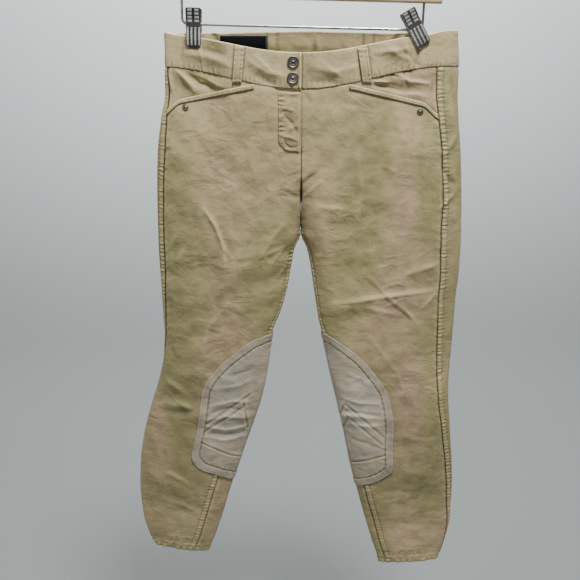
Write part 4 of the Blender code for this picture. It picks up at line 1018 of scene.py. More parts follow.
class MakePanels(bpy.types.Operator):
    """Fronts and backs of both legs, with their seams, hems and folds"""

    bl_idname = "breeches.panels"
    bl_label = "Fronts and backs"

    def execute(self, context):
        wall = context.scene.breeches.twill_wall
        for kind in ("front", "back"):
            for leg in LEGS:
                node = f"{kind}_{leg.name}"
                lay(node, panel(leg, kind), "twill", wall)
        return {"FINISHED"}


# ---------------------------------------------------------------- waistband
BAND_SEAM = 1.5 * MM            # from the fold to the side seam of the band
BAND_RELIEF, BAND_CREASE = 0.5, 1.5     # share of the garment's folds, and strength of its own
TAB_RISE = 2.1 * MM             # of the tab, which lies over the left band's end
BAND_TOP_STITCH, BAND_LOW_STITCH = 2.4 * MM, 3.4 * MM       # from its upper and from its lower edge
# width, height and places of the small wrinkles of the waistband
BAND_WRINKLES = {
    "front": [
        (11, 1, (-175, -186), (-135, -192), (-100, -206)), (9, -0.9, (-150, -180), (-110, -190)),
        (10, 1, (-80, -196), (-50, -214), (-20, -220)), (9, -0.8, (-70, -216), (-35, -234)),
        (10, 1, (15, -205), (45, -214), (80, -206)), (9, -0.6, (10, -226), (50, -228)),
        (9, 1, (105, -186), (135, -184), (160, -180)), (7, 0.6, (120, -176), (140, -190), (165, -196)),
        (5, -0.5, (143, -178), (177, -209)), (5, 0.5, (150, -170), (162, -206)),
        (4, -0.8, (172, -166), (170, -204)), (4, 0.8, (-150, -170), (-146, -200)),
        (4, -0.7, (-170, -168), (-178, -200)), (6, 0.6, (-70, -190), (-40, -215)),
        (6, 0.6, (30, -200), (60, -222)),
    ],
    "back": [
        (11, 0.9, (-120, -180), (-70, -190), (-20, -184)), (11, 0.9, (30, -186), (80, -190), (130, -182)),
        (4, -1, (20, -158), (22, -205)), (5, 0.8, (-150, -165), (-140, -200)),
        (5, -0.8, (150, -165), (145, -200)), (7, 0.6, (-20, -170), (0, -200)),
        (7, -0.6, (60, -166), (75, -200)),
    ],
}


def band_rows(leg, count):
    def heights(share):
        return lambda face, x: band_top(face, x) + (band_bottom(face, x) - band_top(face, x)) * share
    return [Row(leg, -0.19, heights(k / count)) for k in range(count + 1)]


def dress_band(cloth):
    for face, mask in cloth.faces():
        total = BAND_RELIEF * relief(face, cloth.x, cloth.z)
        total += BAND_CREASE * all_creased(cloth.x, cloth.z, BAND_WRINKLES[face])
        cloth.height += (np.where(mask, total, 0.0) * smooth(cloth.down / (6 * MM))
                         * smooth(cloth.up / (6 * MM)))
    cloth.tone += fade("band", cloth.x, cloth.z)
    # Painted shadow on the band beside each belt loop, with a slight dent.
    for _, x_top, x_low, side in BELT_LOOPS:
        beside, _ = from_line(cloth.x, cloth.z,
                              [(x_top, band_top(side, x_top)), (x_low, band_bottom(side, x_low))])
        loop_shadow = (bell(beside - LOOP_WIDTH / 2 - 0.6 * MM, 1.8 * MM)
                 * ((cloth.points[..., 1] > 0) == (side == "back")))
        cloth.tone -= 0.62 * loop_shadow
        cloth.height -= 0.6 * MM * loop_shadow
    pucker = ripples(cloth.arcs, 9 * MM, 2.1, 29) * (0.45 + 0.55 * np.sin(cloth.arcs * 46 + 1.0))
    for distance, edge, pull in ((cloth.down, BAND_TOP_STITCH, 0.22), (cloth.up, BAND_LOW_STITCH, 0.48)):
        cloth.height -= 0.9 * MM * rolled(distance, 1.5 * MM)
        cloth.height -= 0.25 * MM * bell(distance - edge, 1.1 * MM)
        cloth.height += pull * MM * pucker * bell(distance - edge, 7 * MM) * smooth(distance / (1.5 * MM))
        # Painted shade in the groove of each stitch line.
        cloth.tone -= 0.10 * bell(distance - edge, 1.2 * MM)
    # A painted highlight along the band's top edge with slight shade below it, and a painted shadow along its
    # lower edge.
    cloth.tone += 0.75 * bell(cloth.down, 1.7 * MM) - 0.10 * bell(cloth.down - 6 * MM, 3 * MM)
    cloth.tone -= 0.70 * bell(cloth.up, 1.2 * MM) + 0.18 * bell(cloth.up - 1.5 * MM, 6 * MM)
    cloth.rungs += 0.8 * bell(cloth.up - 3 * MM, 5 * MM) + 0.3 * bell(cloth.down - 2 * MM, 4 * MM)
    cloth.ladder = cloth.arcs.copy()


def band_front(leg):
    rows = band_rows(leg, 30)
    cloth = row_cloth(leg, rows, [row.sample(0.2 * MM, row.fold - BAND_SEAM - GAP / 2, 150, 0.8)
                                  for row in rows])
    dress_band(cloth)
    if leg is RIGHT:
        cloth.height += TAB_RISE * smooth((cloth.x + 0.045) / 0.015)
        cloth.height += 0.6 * MM * bell(cloth.start - 1.5 * MM, 1.5 * MM)
        cloth.height -= 0.9 * MM * rolled(cloth.start, 1.2 * MM)
        cloth.height -= 0.45 * MM * bell(cloth.start - 4.2 * MM, 1.2 * MM)
        # Painted highlight on the tab's edge and painted shade in its stitch groove.
        cloth.tone += (0.40 * bell(cloth.start - 1.2 * MM, 1.3 * MM)
                       - 0.25 * bell(cloth.start - 4.2 * MM, 1.0 * MM))
    else:
        # Painted shadow of the tab on the end of the left band.
        cloth.tone -= 0.75 * bell(cloth.start, 2.6 * MM)
    cloth.settle()
    return cloth


def band_back():
    """One strip across the back, from side seam to side seam."""
    halves = []
    for leg in LEGS:
        rows = band_rows(leg, 26)
        runs = [row.sample(row.fold - BAND_SEAM + GAP / 2, row.length, 95, 0.6) for row in rows]
        halves.append(row_cloth(leg, rows, runs))
    right, left = halves
    points, facing, arcs = (np.concatenate([ours, theirs[:, -2::-1]], axis=1) for ours, theirs in (
        (right.points, left.points), (right.facing, left.facing),
        (right.start, right.start[:, -1:] + left.end)))
    cloth = Cloth(points, facing, arcs)
    dress_band(cloth)
    cloth.settle()
    return cloth


class MakeWaistband(bpy.types.Operator):
    """The two front bands, one with the tab that takes the snaps, and the back band"""

    bl_idname = "breeches.waistband"
    bl_label = "Waistband"

    def execute(self, context):
        wall = context.scene.breeches.band_wall
        for leg in LEGS:
            lay(f"waistband_front_{leg.name}", band_front(leg), "washed_twill", wall)
        lay("waistband_back", band_back(), "washed_twill", wall)
        return {"FINISHED"}


# ---------------------------------------------------------------- pockets
# width, height and places of the folds of each pocket facing
FACING_FOLDS = {
    "right": [
        (7, 2.2, (-187, -208), (-170, -225), (-157, -243)),
        (6, -2.4, (-172, -214), (-150, -230), (-128, -236)), (6, 1.8, (-140, -224), (-115, -236)),
        (4, 0.8, (-197, -214), (-190, -245)),
    ],
    "left": [
        (5, -1.6, (104, -232), (135, -236), (160, -243)), (4, 1.6, (105, -226), (130, -228)),
        (4, -1.2, (100, -222), (120, -220)), (3, -1, (150, -216), (156, -232)),
        (5, 2, (135, -214), (160, -226), (190, -230)), (4, -1.4, (128, -216), (150, -222)),
        (5, 1, (150, -243), (185, -247)), (4, -0.8, (196, -216), (190, -250)),
    ],
}


# how much lighter each facing is painted, as light and shade, and how much pinker its tint is
FACING_SHADE_AND_TINT = {"right": (0.12, 0.0), "left": (-0.10, 0.35)}


def pocket_facing(leg):
    def heights(share):
        def height(face, x):
            top = band_bottom(face, x) - GAP
            low = np.where(x > POCKET_START, leg.pocket_mouth(x) + MM, top - GAP)
            return top if face == "back" else top + (np.minimum(low, top - 0.4 * MM) - top) * share
        return height
    rows = [Row(leg, FRONT_LEVEL, heights(k / 26)) for k in range(27)]
    arcs = [row.sample(row.front_arc(POCKET_START + 6 * MM), row.outseam - 2 * GAP, 96, 0.6) for row in rows]
    cloth = row_cloth(leg, rows, arcs)
    cloth.fold()
    cloth.plain_seam(cloth.end, cloth.down)
    cloth.height += all_creased(cloth.x, cloth.z, FACING_FOLDS[leg.name]) * smooth(cloth.up / (7 * MM))
    cloth.height -= 0.9 * MM * bell(cloth.down, 4 * MM)
    # Painted shade above the welt and beneath the waistband, besides the lighter and darker places.
    cloth.tone += (fade("tone", cloth.x, cloth.z) - 0.25 * bell(cloth.up, 4 * MM)
                   - 0.62 * bell(cloth.down, 2.4 * MM))
    tone, tint = FACING_SHADE_AND_TINT[leg.name]
    cloth.tone += tone
    cloth.tint += tint
    cloth.settle(-GAP)
    return cloth


WELT = 7 * MM           # width of the bound edge of a pocket


def pocket_welt(leg):
    """The bound edge below a pocket mouth, stitched along its lower side."""
    def heights(drop):
        return lambda face, x: leg.pocket_mouth(x) + 1.2 * MM - drop
    rows = [Row(leg, FRONT_LEVEL, heights(WELT * k / 10)) for k in range(11)]
    arcs = [row.sample(row.front_arc(POCKET_START + 3 * MM), row.outseam - SEAM / 2, 96, 0.6) for row in rows]
    cloth = row_cloth(leg, rows, arcs)
    cloth.fold()
    share = cloth.down / cloth.down[-1:]
    pucker = ripples(cloth.arcs, 10 * MM, 2, 41) * np.sin(math.pi * share)
    cloth.height += MM * (1.9 - 0.9 * rolled(share, 0.2) - 1.35 * rolled(1 - share, 0.22))
    cloth.height += MM * (0.25 * pucker - 0.35 * bell(share - 0.70, 0.1))
    # Painted highlight along the welt's top and painted shade at its stitch line and lower edge.
    cloth.tone += (0.34 * bell(share - 0.1, 0.22) - 0.20 * bell(share - 0.70, 0.09)
                   - 0.35 * bell(share - 1, 0.10))
    cloth.rungs += 0.5
    cloth.ladder = cloth.arcs.copy()
    cloth.settle()
    return cloth


class MakePockets(bpy.types.Operator):
    """Hip pocket facings and the welts at their mouths"""

    bl_idname = "breeches.pockets"
    bl_label = "Pockets"

    def execute(self, context):
        wall = context.scene.breeches.twill_wall
        for leg in LEGS:
            side = leg.name
            lay(f"pocket_facing_{side}", pocket_facing(leg), "twill", wall)
            lay(f"pocket_welt_{side}", pocket_welt(leg), "washed_twill", 0.5 * MM)
        return {"FINISHED"}


# ---------------------------------------------------------------- fly
FLY_TOP, FLY_CORNER, FLY_FOOT, FLY_EDGE, FLY_WIDTH = -0.2415, -0.309, -0.328, -0.0025, 0.032
FLY_ROWS, FLY_COLUMNS = 70, 34
# width, height and places of the folds of the fly
FLY_FOLDS = [
    (4, 0.9, (-34, -304), (-18, -306), (-4, -311)),
    (3, -0.9, (-27, -310), (-23, -317), (-17, -321), (-4, -321)), (3, 0.8, (-20, -244), (-3, -243.6)),
    (5, 1, (-28, -262), (-12, -268)), (5, -1, (-26, -274), (-14, -286), (-6, -300)),
    (4, 0.8, (-18, -250), (-22, -262)), (6, 0.9, (-20, -296), (-6, -288)),
]


def fly_reach(z):
    fall = np.clip((FLY_CORNER - z) / (FLY_CORNER - FLY_FOOT), 0, 1)
    return np.where(z < FLY_CORNER, FLY_WIDTH * np.sqrt(1 - fall ** 2) * 0.86 + 4.5 * MM, FLY_WIDTH)


class MakeFly(bpy.types.Operator):
    """The overlap of the fly, right over left, down to the foot of its stitching"""

    bl_idname = "breeches.fly"
    bl_label = "Fly"

    def execute(self, context):
        ground = Ground("front_right_cloth", "front_left_cloth")
        share = np.linspace(0, 1, FLY_ROWS)[:, None]
        z = FLY_TOP + (FLY_FOOT - FLY_TOP) * (share * 0.75 + 0.25 * np.sin(share * math.pi / 2))
        across, reach = np.linspace(0, 1, FLY_COLUMNS), fly_reach(z)
        grid = np.stack([FLY_EDGE - reach * across, z + 0 * across], 2)
        to_edge, to_side = reach * across, reach * (1 - across)
        to_stitch = np.minimum(to_side, z - FLY_FOOT)
        lifts = MM * (1.9 + 0.5 * bell(to_edge - 1.6 * MM, 1.8 * MM) - rolled(to_edge, 1.3 * MM)
                      - 1.15 * rolled(to_stitch, 2.2 * MM) - 0.45 * bell(to_stitch - 3 * MM, 1.2 * MM))
        lifts += MM * 0.6 * ripples(z, 9 * MM, 1.8, 170) * bell(to_side - 4.5 * MM, 4.5 * MM)
        lifts += all_creased(*np.moveaxis(grid, 2, 0), FLY_FOLDS)
        folds = lifts - blurred(lifts, 3)
        cloth = step_cloth(ground, grid, FORWARD, lifts)
        foot = 0.25 + 0.75 * smooth((FLY_CORNER + 9 * MM - z) / (12 * MM))
        # Painted highlight on the flap's edge, painted shade along its stitching toward the foot, and painted
        # light and shade on its folds.
        cloth.tone += (0.34 * bell(to_edge - MM, 1.5 * MM)
                       - 0.45 * foot * bell(to_stitch - 2.8 * MM, 1.4 * MM)
                       - 0.50 * foot * bell(to_stitch, 0.9 * MM) + RELIEF_SHADE * folds / MM)
        cloth.rungs += bell(to_stitch - 3 * MM, 4 * MM)
        lay("fly_flap", cloth, "twill", 0.4 * MM)
        return {"FINISHED"}


# ---------------------------------------------------------------- belt loops
LOOP_WIDTH = 14 * MM
LOOP_ROWS, LOOP_COLUMNS = 48, 22
# node, x at its top and at its foot, and face of each belt loop
BELT_LOOPS = [("belt_loop_front_right", -0.0895, -0.0945, "front"),
              ("belt_loop_front_left", 0.0875, 0.0955, "front"),
              ("belt_loop_back_right", -0.0425, -0.0425, "back"),
              ("belt_loop_back_left", 0.0998, 0.1000, "back")]


def evened(depth, span=5):
    """The outermost places along a strip, without the steps of what it crosses."""
    for of_span in (np.max, np.mean):
        padded = np.pad(depth, ((span, span), (0, 0)), mode="edge")
        depth = of_span([padded[k:k + len(depth)] for k in range(2 * span + 1)], axis=0)
    return depth


def belt_loop(ground, x_top, x_low, face):
    top = min(band_top(face, x_top - LOOP_WIDTH / 2), band_top(face, x_top + LOOP_WIDTH / 2)) - 2.5 * MM
    low = band_bottom(face, x_low) - 4 * MM
    facing = OUTWARD[face]
    share, across = np.linspace(0, 1, LOOP_ROWS)[:, None], np.linspace(-0.5, 0.5, LOOP_COLUMNS)[None, :]
    x = x_top + (x_low - x_top) * share + LOOP_WIDTH * across
    z = top + (low - top) * share + 0 * across
    cloth = step_cloth(ground, np.stack([x, z], 2), facing, np.zeros(x.shape))
    depth = evened(cloth.points[..., 1] * facing.y)
    along = share * (top - low)
    beside = abs(across)
    rise = (2.7 + 1.6 * np.sin(math.pi * share) ** 2 - 1.1 * rolled(0.5 - beside, 0.09)
            + 0.55 * bell(beside - 0.37, 0.08) - 0.45 * bell(beside - 0.20, 0.07)
            + 0.16 * np.sin(along * 2 * math.pi / (8 * MM)) * bell(beside - 0.34, 0.12)
            - 0.8 * rolled(np.minimum(share, 1 - share), 0.03))
    cloth.points[..., 1] = (depth + MM * rise) * facing.y
    # Painted highlights on the loop's folded edges, and painted shade in its middle, along its outer edges
    # and at both ends.
    cloth.tone += (0.52 * bell(beside - 0.41, 0.06) - 0.42 * bell(beside - 0.27, 0.05) - 0.10
                   - 0.55 * bell(beside - 0.5, 0.025) - 0.30 * bell(share - 0.05, 0.02)
                   - 0.45 * bell(share - 0.96, 0.02))
    cloth.rungs += 0.8 * bell(beside - 0.3, 0.15)
    cloth.ladder = along + 0 * across
    return cloth


class MakeBeltLoops(bpy.types.Operator):
    """Four belt loops, edge-stitched and tacked at both ends"""

    bl_idname = "breeches.belt_loops"
    bl_label = "Belt loops"

    def execute(self, context):
        below = [f"{part}_{leg.name}_cloth" for part in ("waistband_front", "front", "back", "pocket_facing")
                 for leg in LEGS]
        ground = Ground("waistband_back_cloth", *below)
        for node, x_top, x_low, face in BELT_LOOPS:
            lay(node, belt_loop(ground, x_top, x_low, face), "washed_twill", 1.2 * MM)
        return {"FINISHED"}


# ---------------------------------------------------------------- label
LABEL_X, LABEL_Z = (-0.120, -0.050), (-0.1620, -0.1820)
LABEL_COLUMNS, LABEL_ROWS = 60, 20


class MakeLabel(bpy.types.Operator):
    """The bare woven label inside the back of the waistband"""

    bl_idname = "breeches.label"
    bl_label = "Label"

    def execute(self, context):
        ground = Ground("waistband_back_cloth")
        x, z = np.linspace(*LABEL_X, LABEL_COLUMNS), np.linspace(*LABEL_Z, LABEL_ROWS)
        grid = np.stack(np.meshgrid(x, z), 2)
        column, row = (np.minimum(np.arange(len(line)), np.arange(len(line))[::-1]) for line in (x, z))
        edge = np.minimum(column[None, :], row[:, None])
        lifts = MM * (1.05 - 0.4 * (edge == 0) - 0.12 * (edge == 1)) + 0.12 * MM * np.sin(x * 190)[None, :]
        cloth = step_cloth(ground, grid, FORWARD, lifts)
        cloth.tone += np.maximum(0.9 * smooth((grid[..., 0] + 0.0535) / (1.0 * MM)), 0.25 * (edge <= 1))
        lay("label", cloth, "label", 0.4 * MM)
        return {"FINISHED"}


# ---------------------------------------------------------------- knee patches
# height, and how far a knee patch reaches from the inner fold over the front and over the back
PATCH_ROWS = {
    "right": [
        (-623.5, 12, 6), (-630, 30, 18), (-640, 43, 28), (-653, 58, 38), (-670, 75, 48), (-688, 88, 55),
        (-704, 97, 60), (-725, 102, 64), (-746, 100, 66), (-770, 96, 65), (-795, 92, 62), (-823, 89, 58),
        (-846, 86, 52), (-857, 79, 46), (-870, 64, 36), (-882, 31, 18), (-893, 10, 5),
    ],
    "left": [
        (-622.5, 10, 6), (-630, 21, 18), (-646, 41, 32), (-665, 58, 43), (-688, 72, 52), (-710, 83, 58),
        (-733, 89, 62), (-756, 89, 64), (-780, 87, 64), (-801, 84, 62), (-823, 79, 58), (-850, 75, 52),
        (-872, 70, 44), (-885, 55, 34), (-897, 32, 20), (-906, 10, 5),
    ],
}
BORDER = 13.5 * MM      # width of the strip round a patch
PATCH_ROUND = 0.62      # length of the outline over which its ripples are counted
PATCH_LEVELS, PATCH_COLUMNS = 168, 128
# places of the darts and strips sewn into a patch
PATCH_SEAMS = {
    "right": {
        "front": [
            ((-84, -727), (-97, -736), (-130, -760), (-160, -782)), ((-95, -748), (-108, -758), (-164, -797)),
            ((-95, -740), (-90, -792)), ((-170, -816), (-106, -848)),
        ],
        "back": [
            ((-85, -730), (-120, -765)), ((-85, -745), (-118, -778)), ((-140, -815), (-112, -838)),
        ],
    },
    "left": {
        "front": [
            ((77, -746), (110, -776), (143, -807)), ((82, -769), (112, -796), (141, -822)),
            ((75, -749), (69, -773)), ((82, -771), (74, -794)), ((145, -841), (91, -859)),
        ],
        "back": [
            ((75, -742), (112, -782)), ((76, -760), (110, -798)), ((120, -838), (92, -850)),
        ],
    },
}
# width, height and places of the wrinkles of the suede
PATCH_WRINKLES = {
    "right": {
        "front": [
            (5, 1, (-80, -742), (-110, -738), (-150, -748)),
            (4, -0.8, (-78, -758), (-120, -751), (-155, -762)),
            (5, 0.9, (-85, -770), (-125, -766), (-158, -774)),
            (5, 1.1, (-86, -786), (-125, -792), (-160, -786)),
            (6, 0.8, (-92, -806), (-130, -812), (-165, -804)),
            (3, -0.5, (-92, -798), (-130, -802), (-150, -797)),
            (6, 0.7, (-80, -700), (-110, -712), (-140, -716)),
            (6, -0.6, (-75, -680), (-105, -690), (-120, -694)),
        ],
        "back": [
            (5, 0.9, (-80, -740), (-125, -748)), (5, -0.8, (-82, -768), (-130, -775)),
        ],
    },
    "left": {
        "front": [
            (8, 1.1, (68, -768), (100, -766), (135, -772)), (5, 0.9, (72, -735), (100, -742), (135, -744)),
            (4, -0.7, (75, -757), (105, -762), (138, -768)), (5, 0.8, (85, -782), (115, -786), (142, -784)),
            (4, -0.7, (88, -812), (112, -818), (140, -830)), (6, 0.7, (80, -690), (105, -700), (115, -712)),
        ],
        "back": [
            (5, 0.9, (78, -738), (120, -746)), (5, -0.8, (80, -765), (130, -772)),
        ],
    },
}
PATCH_OUTLINES = {}


def knee_patch(leg, rise):
    table = Table("front back", PATCH_ROWS[leg.name])
    high, low = table.z[-1], table.z[0]
    even = np.linspace(0, 1, PATCH_LEVELS)
    levels = high + (low - high) * (0.3 * (1 - np.cos(math.pi * even)) + 0.4 * even)
    rows = [Row(leg, level, lambda face, x, level=level: np.full(np.shape(x), level)) for level in levels]
    arcs, starts, ends = [], [], []
    for row, level in zip(rows, levels):
        fold = float(leg.at("inner", level))
        start = row.back_arc(fold + float(table.at("back", level)))
        end = row.length + row.front_arc(fold + float(table.at("front", level)))
        arcs.append(row.sample(start, end, PATCH_COLUMNS, 1.0))
        starts.append(start - row.length)
        ends.append(end - row.length)
    cloth, lengths = row_cloth(leg, rows, arcs), np.array([row.length for row in rows])
    round_fold = cloth.arcs - lengths[:, None]
    outline = list(zip(ends, levels)) + list(zip(starts[::-1], levels[::-1]))
    outline.append(outline[0])
    PATCH_OUTLINES[leg.name] = np.array(outline), levels, lengths
    distance, share = from_line(round_fold, np.repeat(levels[:, None], PATCH_COLUMNS + 1, 1), outline)
    along = share * PATCH_ROUND
    cloth.fold()
    pucker = ripples(along, 9 * MM, 1.6, 57)
    holes = 0.6 + 0.4 * np.sin(along * 2 * math.pi / (4.5 * MM))
    cloth.height -= 0.75 * MM * rolled(distance, 1.8 * MM)
    cloth.height += MM * (0.35 * smooth((BORDER - distance) / (1.5 * MM))
                          - 0.85 * bell(distance - BORDER, 1.5 * MM))
    cloth.height += 0.26 * MM * pucker * (bell(distance - BORDER, 4 * MM) + 0.5 * bell(distance, 4 * MM))
    # The border is a little darker; painted shade in the groove inside the border and at the outer edge, a
    # painted highlight just inside the edge, and darker stitch holes.
    cloth.tone += (-0.12 * smooth((BORDER - distance) / (3 * MM)) - 0.52 * bell(distance - BORDER, 1.3 * MM)
                   + 0.16 * bell(distance - 1.6 * MM, 1.4 * MM) - 0.60 * bell(distance, 1.0 * MM)
                   - 0.30 * bell(distance - 3.4 * MM, 0.9 * MM) * holes)
    inside = smooth((distance - BORDER) / (4 * MM))
    for face, mask in cloth.faces():
        cloth.height += mask * inside * all_creased(cloth.x, cloth.z, PATCH_WRINKLES[leg.name][face])
        for places in PATCH_SEAMS[leg.name][face]:
            away, _ = from_line(cloth.x, cloth.z, np.array(places) * MM)
            cloth.height += mask * MM * (0.45 * bell(away - 4 * MM, 2.2 * MM) - 0.7 * bell(away, 1.4 * MM))
            # Painted highlight beside each dart and painted shade in its groove.
            cloth.tone += mask * (0.12 * bell(away - 3 * MM, 2 * MM) - 0.50 * bell(away, 1.2 * MM))
    cloth.tone += fade("suede", cloth.x, cloth.z)
    cloth.settle(rise)
    return cloth


class MakeKneePatches(bpy.types.Operator):
    """The suede patches round the inside of each knee, with their borders and darts"""

    bl_idname = "breeches.knee_patches"
    bl_label = "Knee patches"

    def execute(self, context):
        for leg in LEGS:
            cloth = knee_patch(leg, context.scene.breeches.patch_rise)
            lay(f"knee_patch_{leg.name}", cloth, "suede", 0.5 * MM, "suede")
        return {"FINISHED"}


# ---------------------------------------------------------------- snaps and rivets
# radius and height round a cap's section, in millimetres
SNAP_PROFILE = [(7.4, 0.0), (8.2, 0.3), (8.6, 0.9), (8.6, 1.5), (8.2, 2.2), (7.5, 2.55), (6.9, 2.4),
                (6.4, 1.9), (5.9, 1.65), (5.2, 1.6), (4.4, 1.85), (3.9, 1.85), (3.5, 1.55), (2.6, 1.5),
                (2.1, 1.9), (1.5, 2.3), (0.8, 2.5), (0.0, 2.55)]
RIVET_PROFILE = [(4.2, 0.0), (4.8, 0.3), (4.9, 0.8), (4.5, 1.25), (3.9, 1.4), (3.2, 1.25), (2.5, 1.2),
                 (2.0, 1.4), (1.4, 1.75), (0.7, 1.95), (0.0, 2.0)]


def turned_piece(name, profile, steps):
    """A round cap spun from half of its section, in millimetres, with its back closed."""
    bm = bmesh.new()
    verts = [bm.verts.new((radius * MM, 0, height * MM)) for radius, height in [(0.0, 0.0), *profile]]
    edges = [bm.edges.new(pair) for pair in zip(verts, verts[1:])]
    bmesh.ops.spin(bm, geom=verts + edges, cent=(0, 0, 0), axis=(0, 0, 1), angle=2 * math.pi, steps=steps,
                   use_merge=True)
    bmesh.ops.remove_doubles(bm, verts=bm.verts, dist=1e-6)
    bmesh.ops.recalc_face_normals(bm, faces=bm.faces)
    return meshed(name, bm)


# node, place and section of each cap, and the steps of its round
CAPS = [("snap_upper", -0.0125, -0.1995, SNAP_PROFILE, 56),
        ("snap_lower", -0.0130, -0.2218, SNAP_PROFILE, 56),
        ("rivet_right", -0.1725, -0.2637, RIVET_PROFILE, 40),
        ("rivet_left", 0.1769, -0.2700, RIVET_PROFILE, 40)]
CAP_LIFT = 0.2 * MM


class MakeFasteners(bpy.types.Operator):
    """Two snaps on the waistband's tab and a rivet at each pocket"""

    bl_idname = "breeches.fasteners"
    bl_label = "Snaps and rivets"

    def execute(self, context):
        ground = Ground("waistband_front_right_cloth", "front_right_cloth", "front_left_cloth")
        for node, x, z, profile, steps in CAPS:
            mesh = turned_piece(f"{node}_cap", profile, steps)
            place, normal = ground.seat(x, z, FORWARD)
            turn = normal.to_track_quat("Z", "Y").to_matrix().to_4x4()
            mesh.transform(Matrix.Translation(place + Vector((GARMENT_X, 0, 0)) + normal * CAP_LIFT) @ turn)
            show(mesh, "pewter", [node])
        return {"FINISHED"}


# ---------------------------------------------------------------- stitching
TACK_WIDTH, TACK_LIFT, STITCH_LIFT = 2.2 * MM, 0.2 * MM, 0.08 * MM
LAP_STITCHES = 1.6 * MM, 7.4 * MM       # two rows from the edge of a lapped seam
CROTCH_ROW = round((FRONT_LEVEL - CROTCH_Z) / ROW_STEP)


class Thread:
    """Stitches of one seam group, joined in one mesh."""

    def __init__(self, settings):
        self.length, self.pitch = settings.stitch_length, settings.stitch_pitch
        self.width = settings.thread_width
        self.bm, bm = bmesh.new(), bmesh.new()
        bmesh.ops.create_uvsphere(bm, u_segments=5, v_segments=3, radius=0.5)
        self.one = meshed("one_stitch", bm)
        self.base = flat_places(self.one)[:, [0, 2, 1]] * (-1, 1, 1)

    def stitch(self, place, along, normal, length=None):
        axes = np.stack([np.cross(along, normal) * self.width, along * (length or self.length),
                         normal * self.width * 0.9])
        self.one.vertices.foreach_set("co", (self.base @ axes + place + (GARMENT_X, 0, 0)).ravel())
        self.bm.from_mesh(self.one)

    def sew(self, points, normals):
        """Stitches end to end along a line of places."""
        passed = passed_at(points)
        for s in np.arange(self.pitch / 2, passed[-1], self.pitch):
            place, before, after = (along_line(at, passed, points) for at in (s, s - MM, s + MM))
            normal = along_line(s, passed, normals)
            along = unit(after - before)
            normal = unit(normal - along * np.dot(normal, along))
            self.stitch(place + normal * STITCH_LIFT, along, normal)

    def tack(self, ground, start, end, facing, count):
        """A bar tack: short stitches side by side across a line between garment places x, z."""
        points, normals = ground.line([start, end], facing, 1 * MM)
        line = unit(points[-1] - points[0])
        for share in np.linspace(0, 1, count):
            k = share * (len(points) - 1)
            i = min(int(k), len(points) - 2)
            place = points[i] + (points[i + 1] - points[i]) * (k - i)
            normal = unit(normals[i] - line * np.dot(normals[i], line))
            self.stitch(place + normal * TACK_LIFT, unit(np.cross(normal, line)), normal, TACK_WIDTH)

    def finish(self, name):
        bpy.data.meshes.remove(self.one)
        show(meshed(name, self.bm), "thread", [])


def patch_line(leg, inset):
    """Places on a knee patch at a distance inside its outline."""
    outline, levels, lengths = PATCH_OUTLINES[leg.name]
    cloth = CLOTHS[f"knee_patch_{leg.name}_suede"]
    along = unit(np.roll(outline[:-1], -1, 0) - np.roll(outline[:-1], 1, 0))
    inward = np.stack([along[:, 1], -along[:, 0]], 1)
    if np.dot(inward[20], outline.mean(0) - outline[20]) < 0:
        inward = -inward
    moved = outline[:-1] + inward * inset
    clear, _ = from_line(moved[:, 0], moved[:, 1], outline)
    moved = moved[clear > inset * 0.97]
    found = []
    for s, z in moved:
        row = np.interp(-z, -levels, np.arange(len(levels)))
        i = int(min(row, len(levels) - 2))
        mixed = []
        for grid in (cloth.points, cloth.facing):
            pair = [along_line(s + lengths[r], cloth.arcs[r], grid[r]) for r in (i, i + 1)]
            mixed.append(pair[0] + (pair[1] - pair[0]) * (row - i))
        found.append(mixed)
    found = np.array(found)
    found = np.concatenate([found, found[:1]])
    return found[:, 0], unit(found[:, 1])


def nearest(distance, wanted, column):
    """The row of a cloth that lies at a distance, seen in one of its columns."""
    return int(np.argmin(abs(distance[:, column] - wanted)))


def long_runs(points, normals, most=12 * MM):
    """A line split where it jumps."""
    jumps = np.nonzero(np.linalg.norm(np.diff(points, axis=0), axis=1) > most)[0] + 1
    return [(p, n) for p, n in zip(np.split(points, jumps), np.split(normals, jumps)) if len(p) > 2]


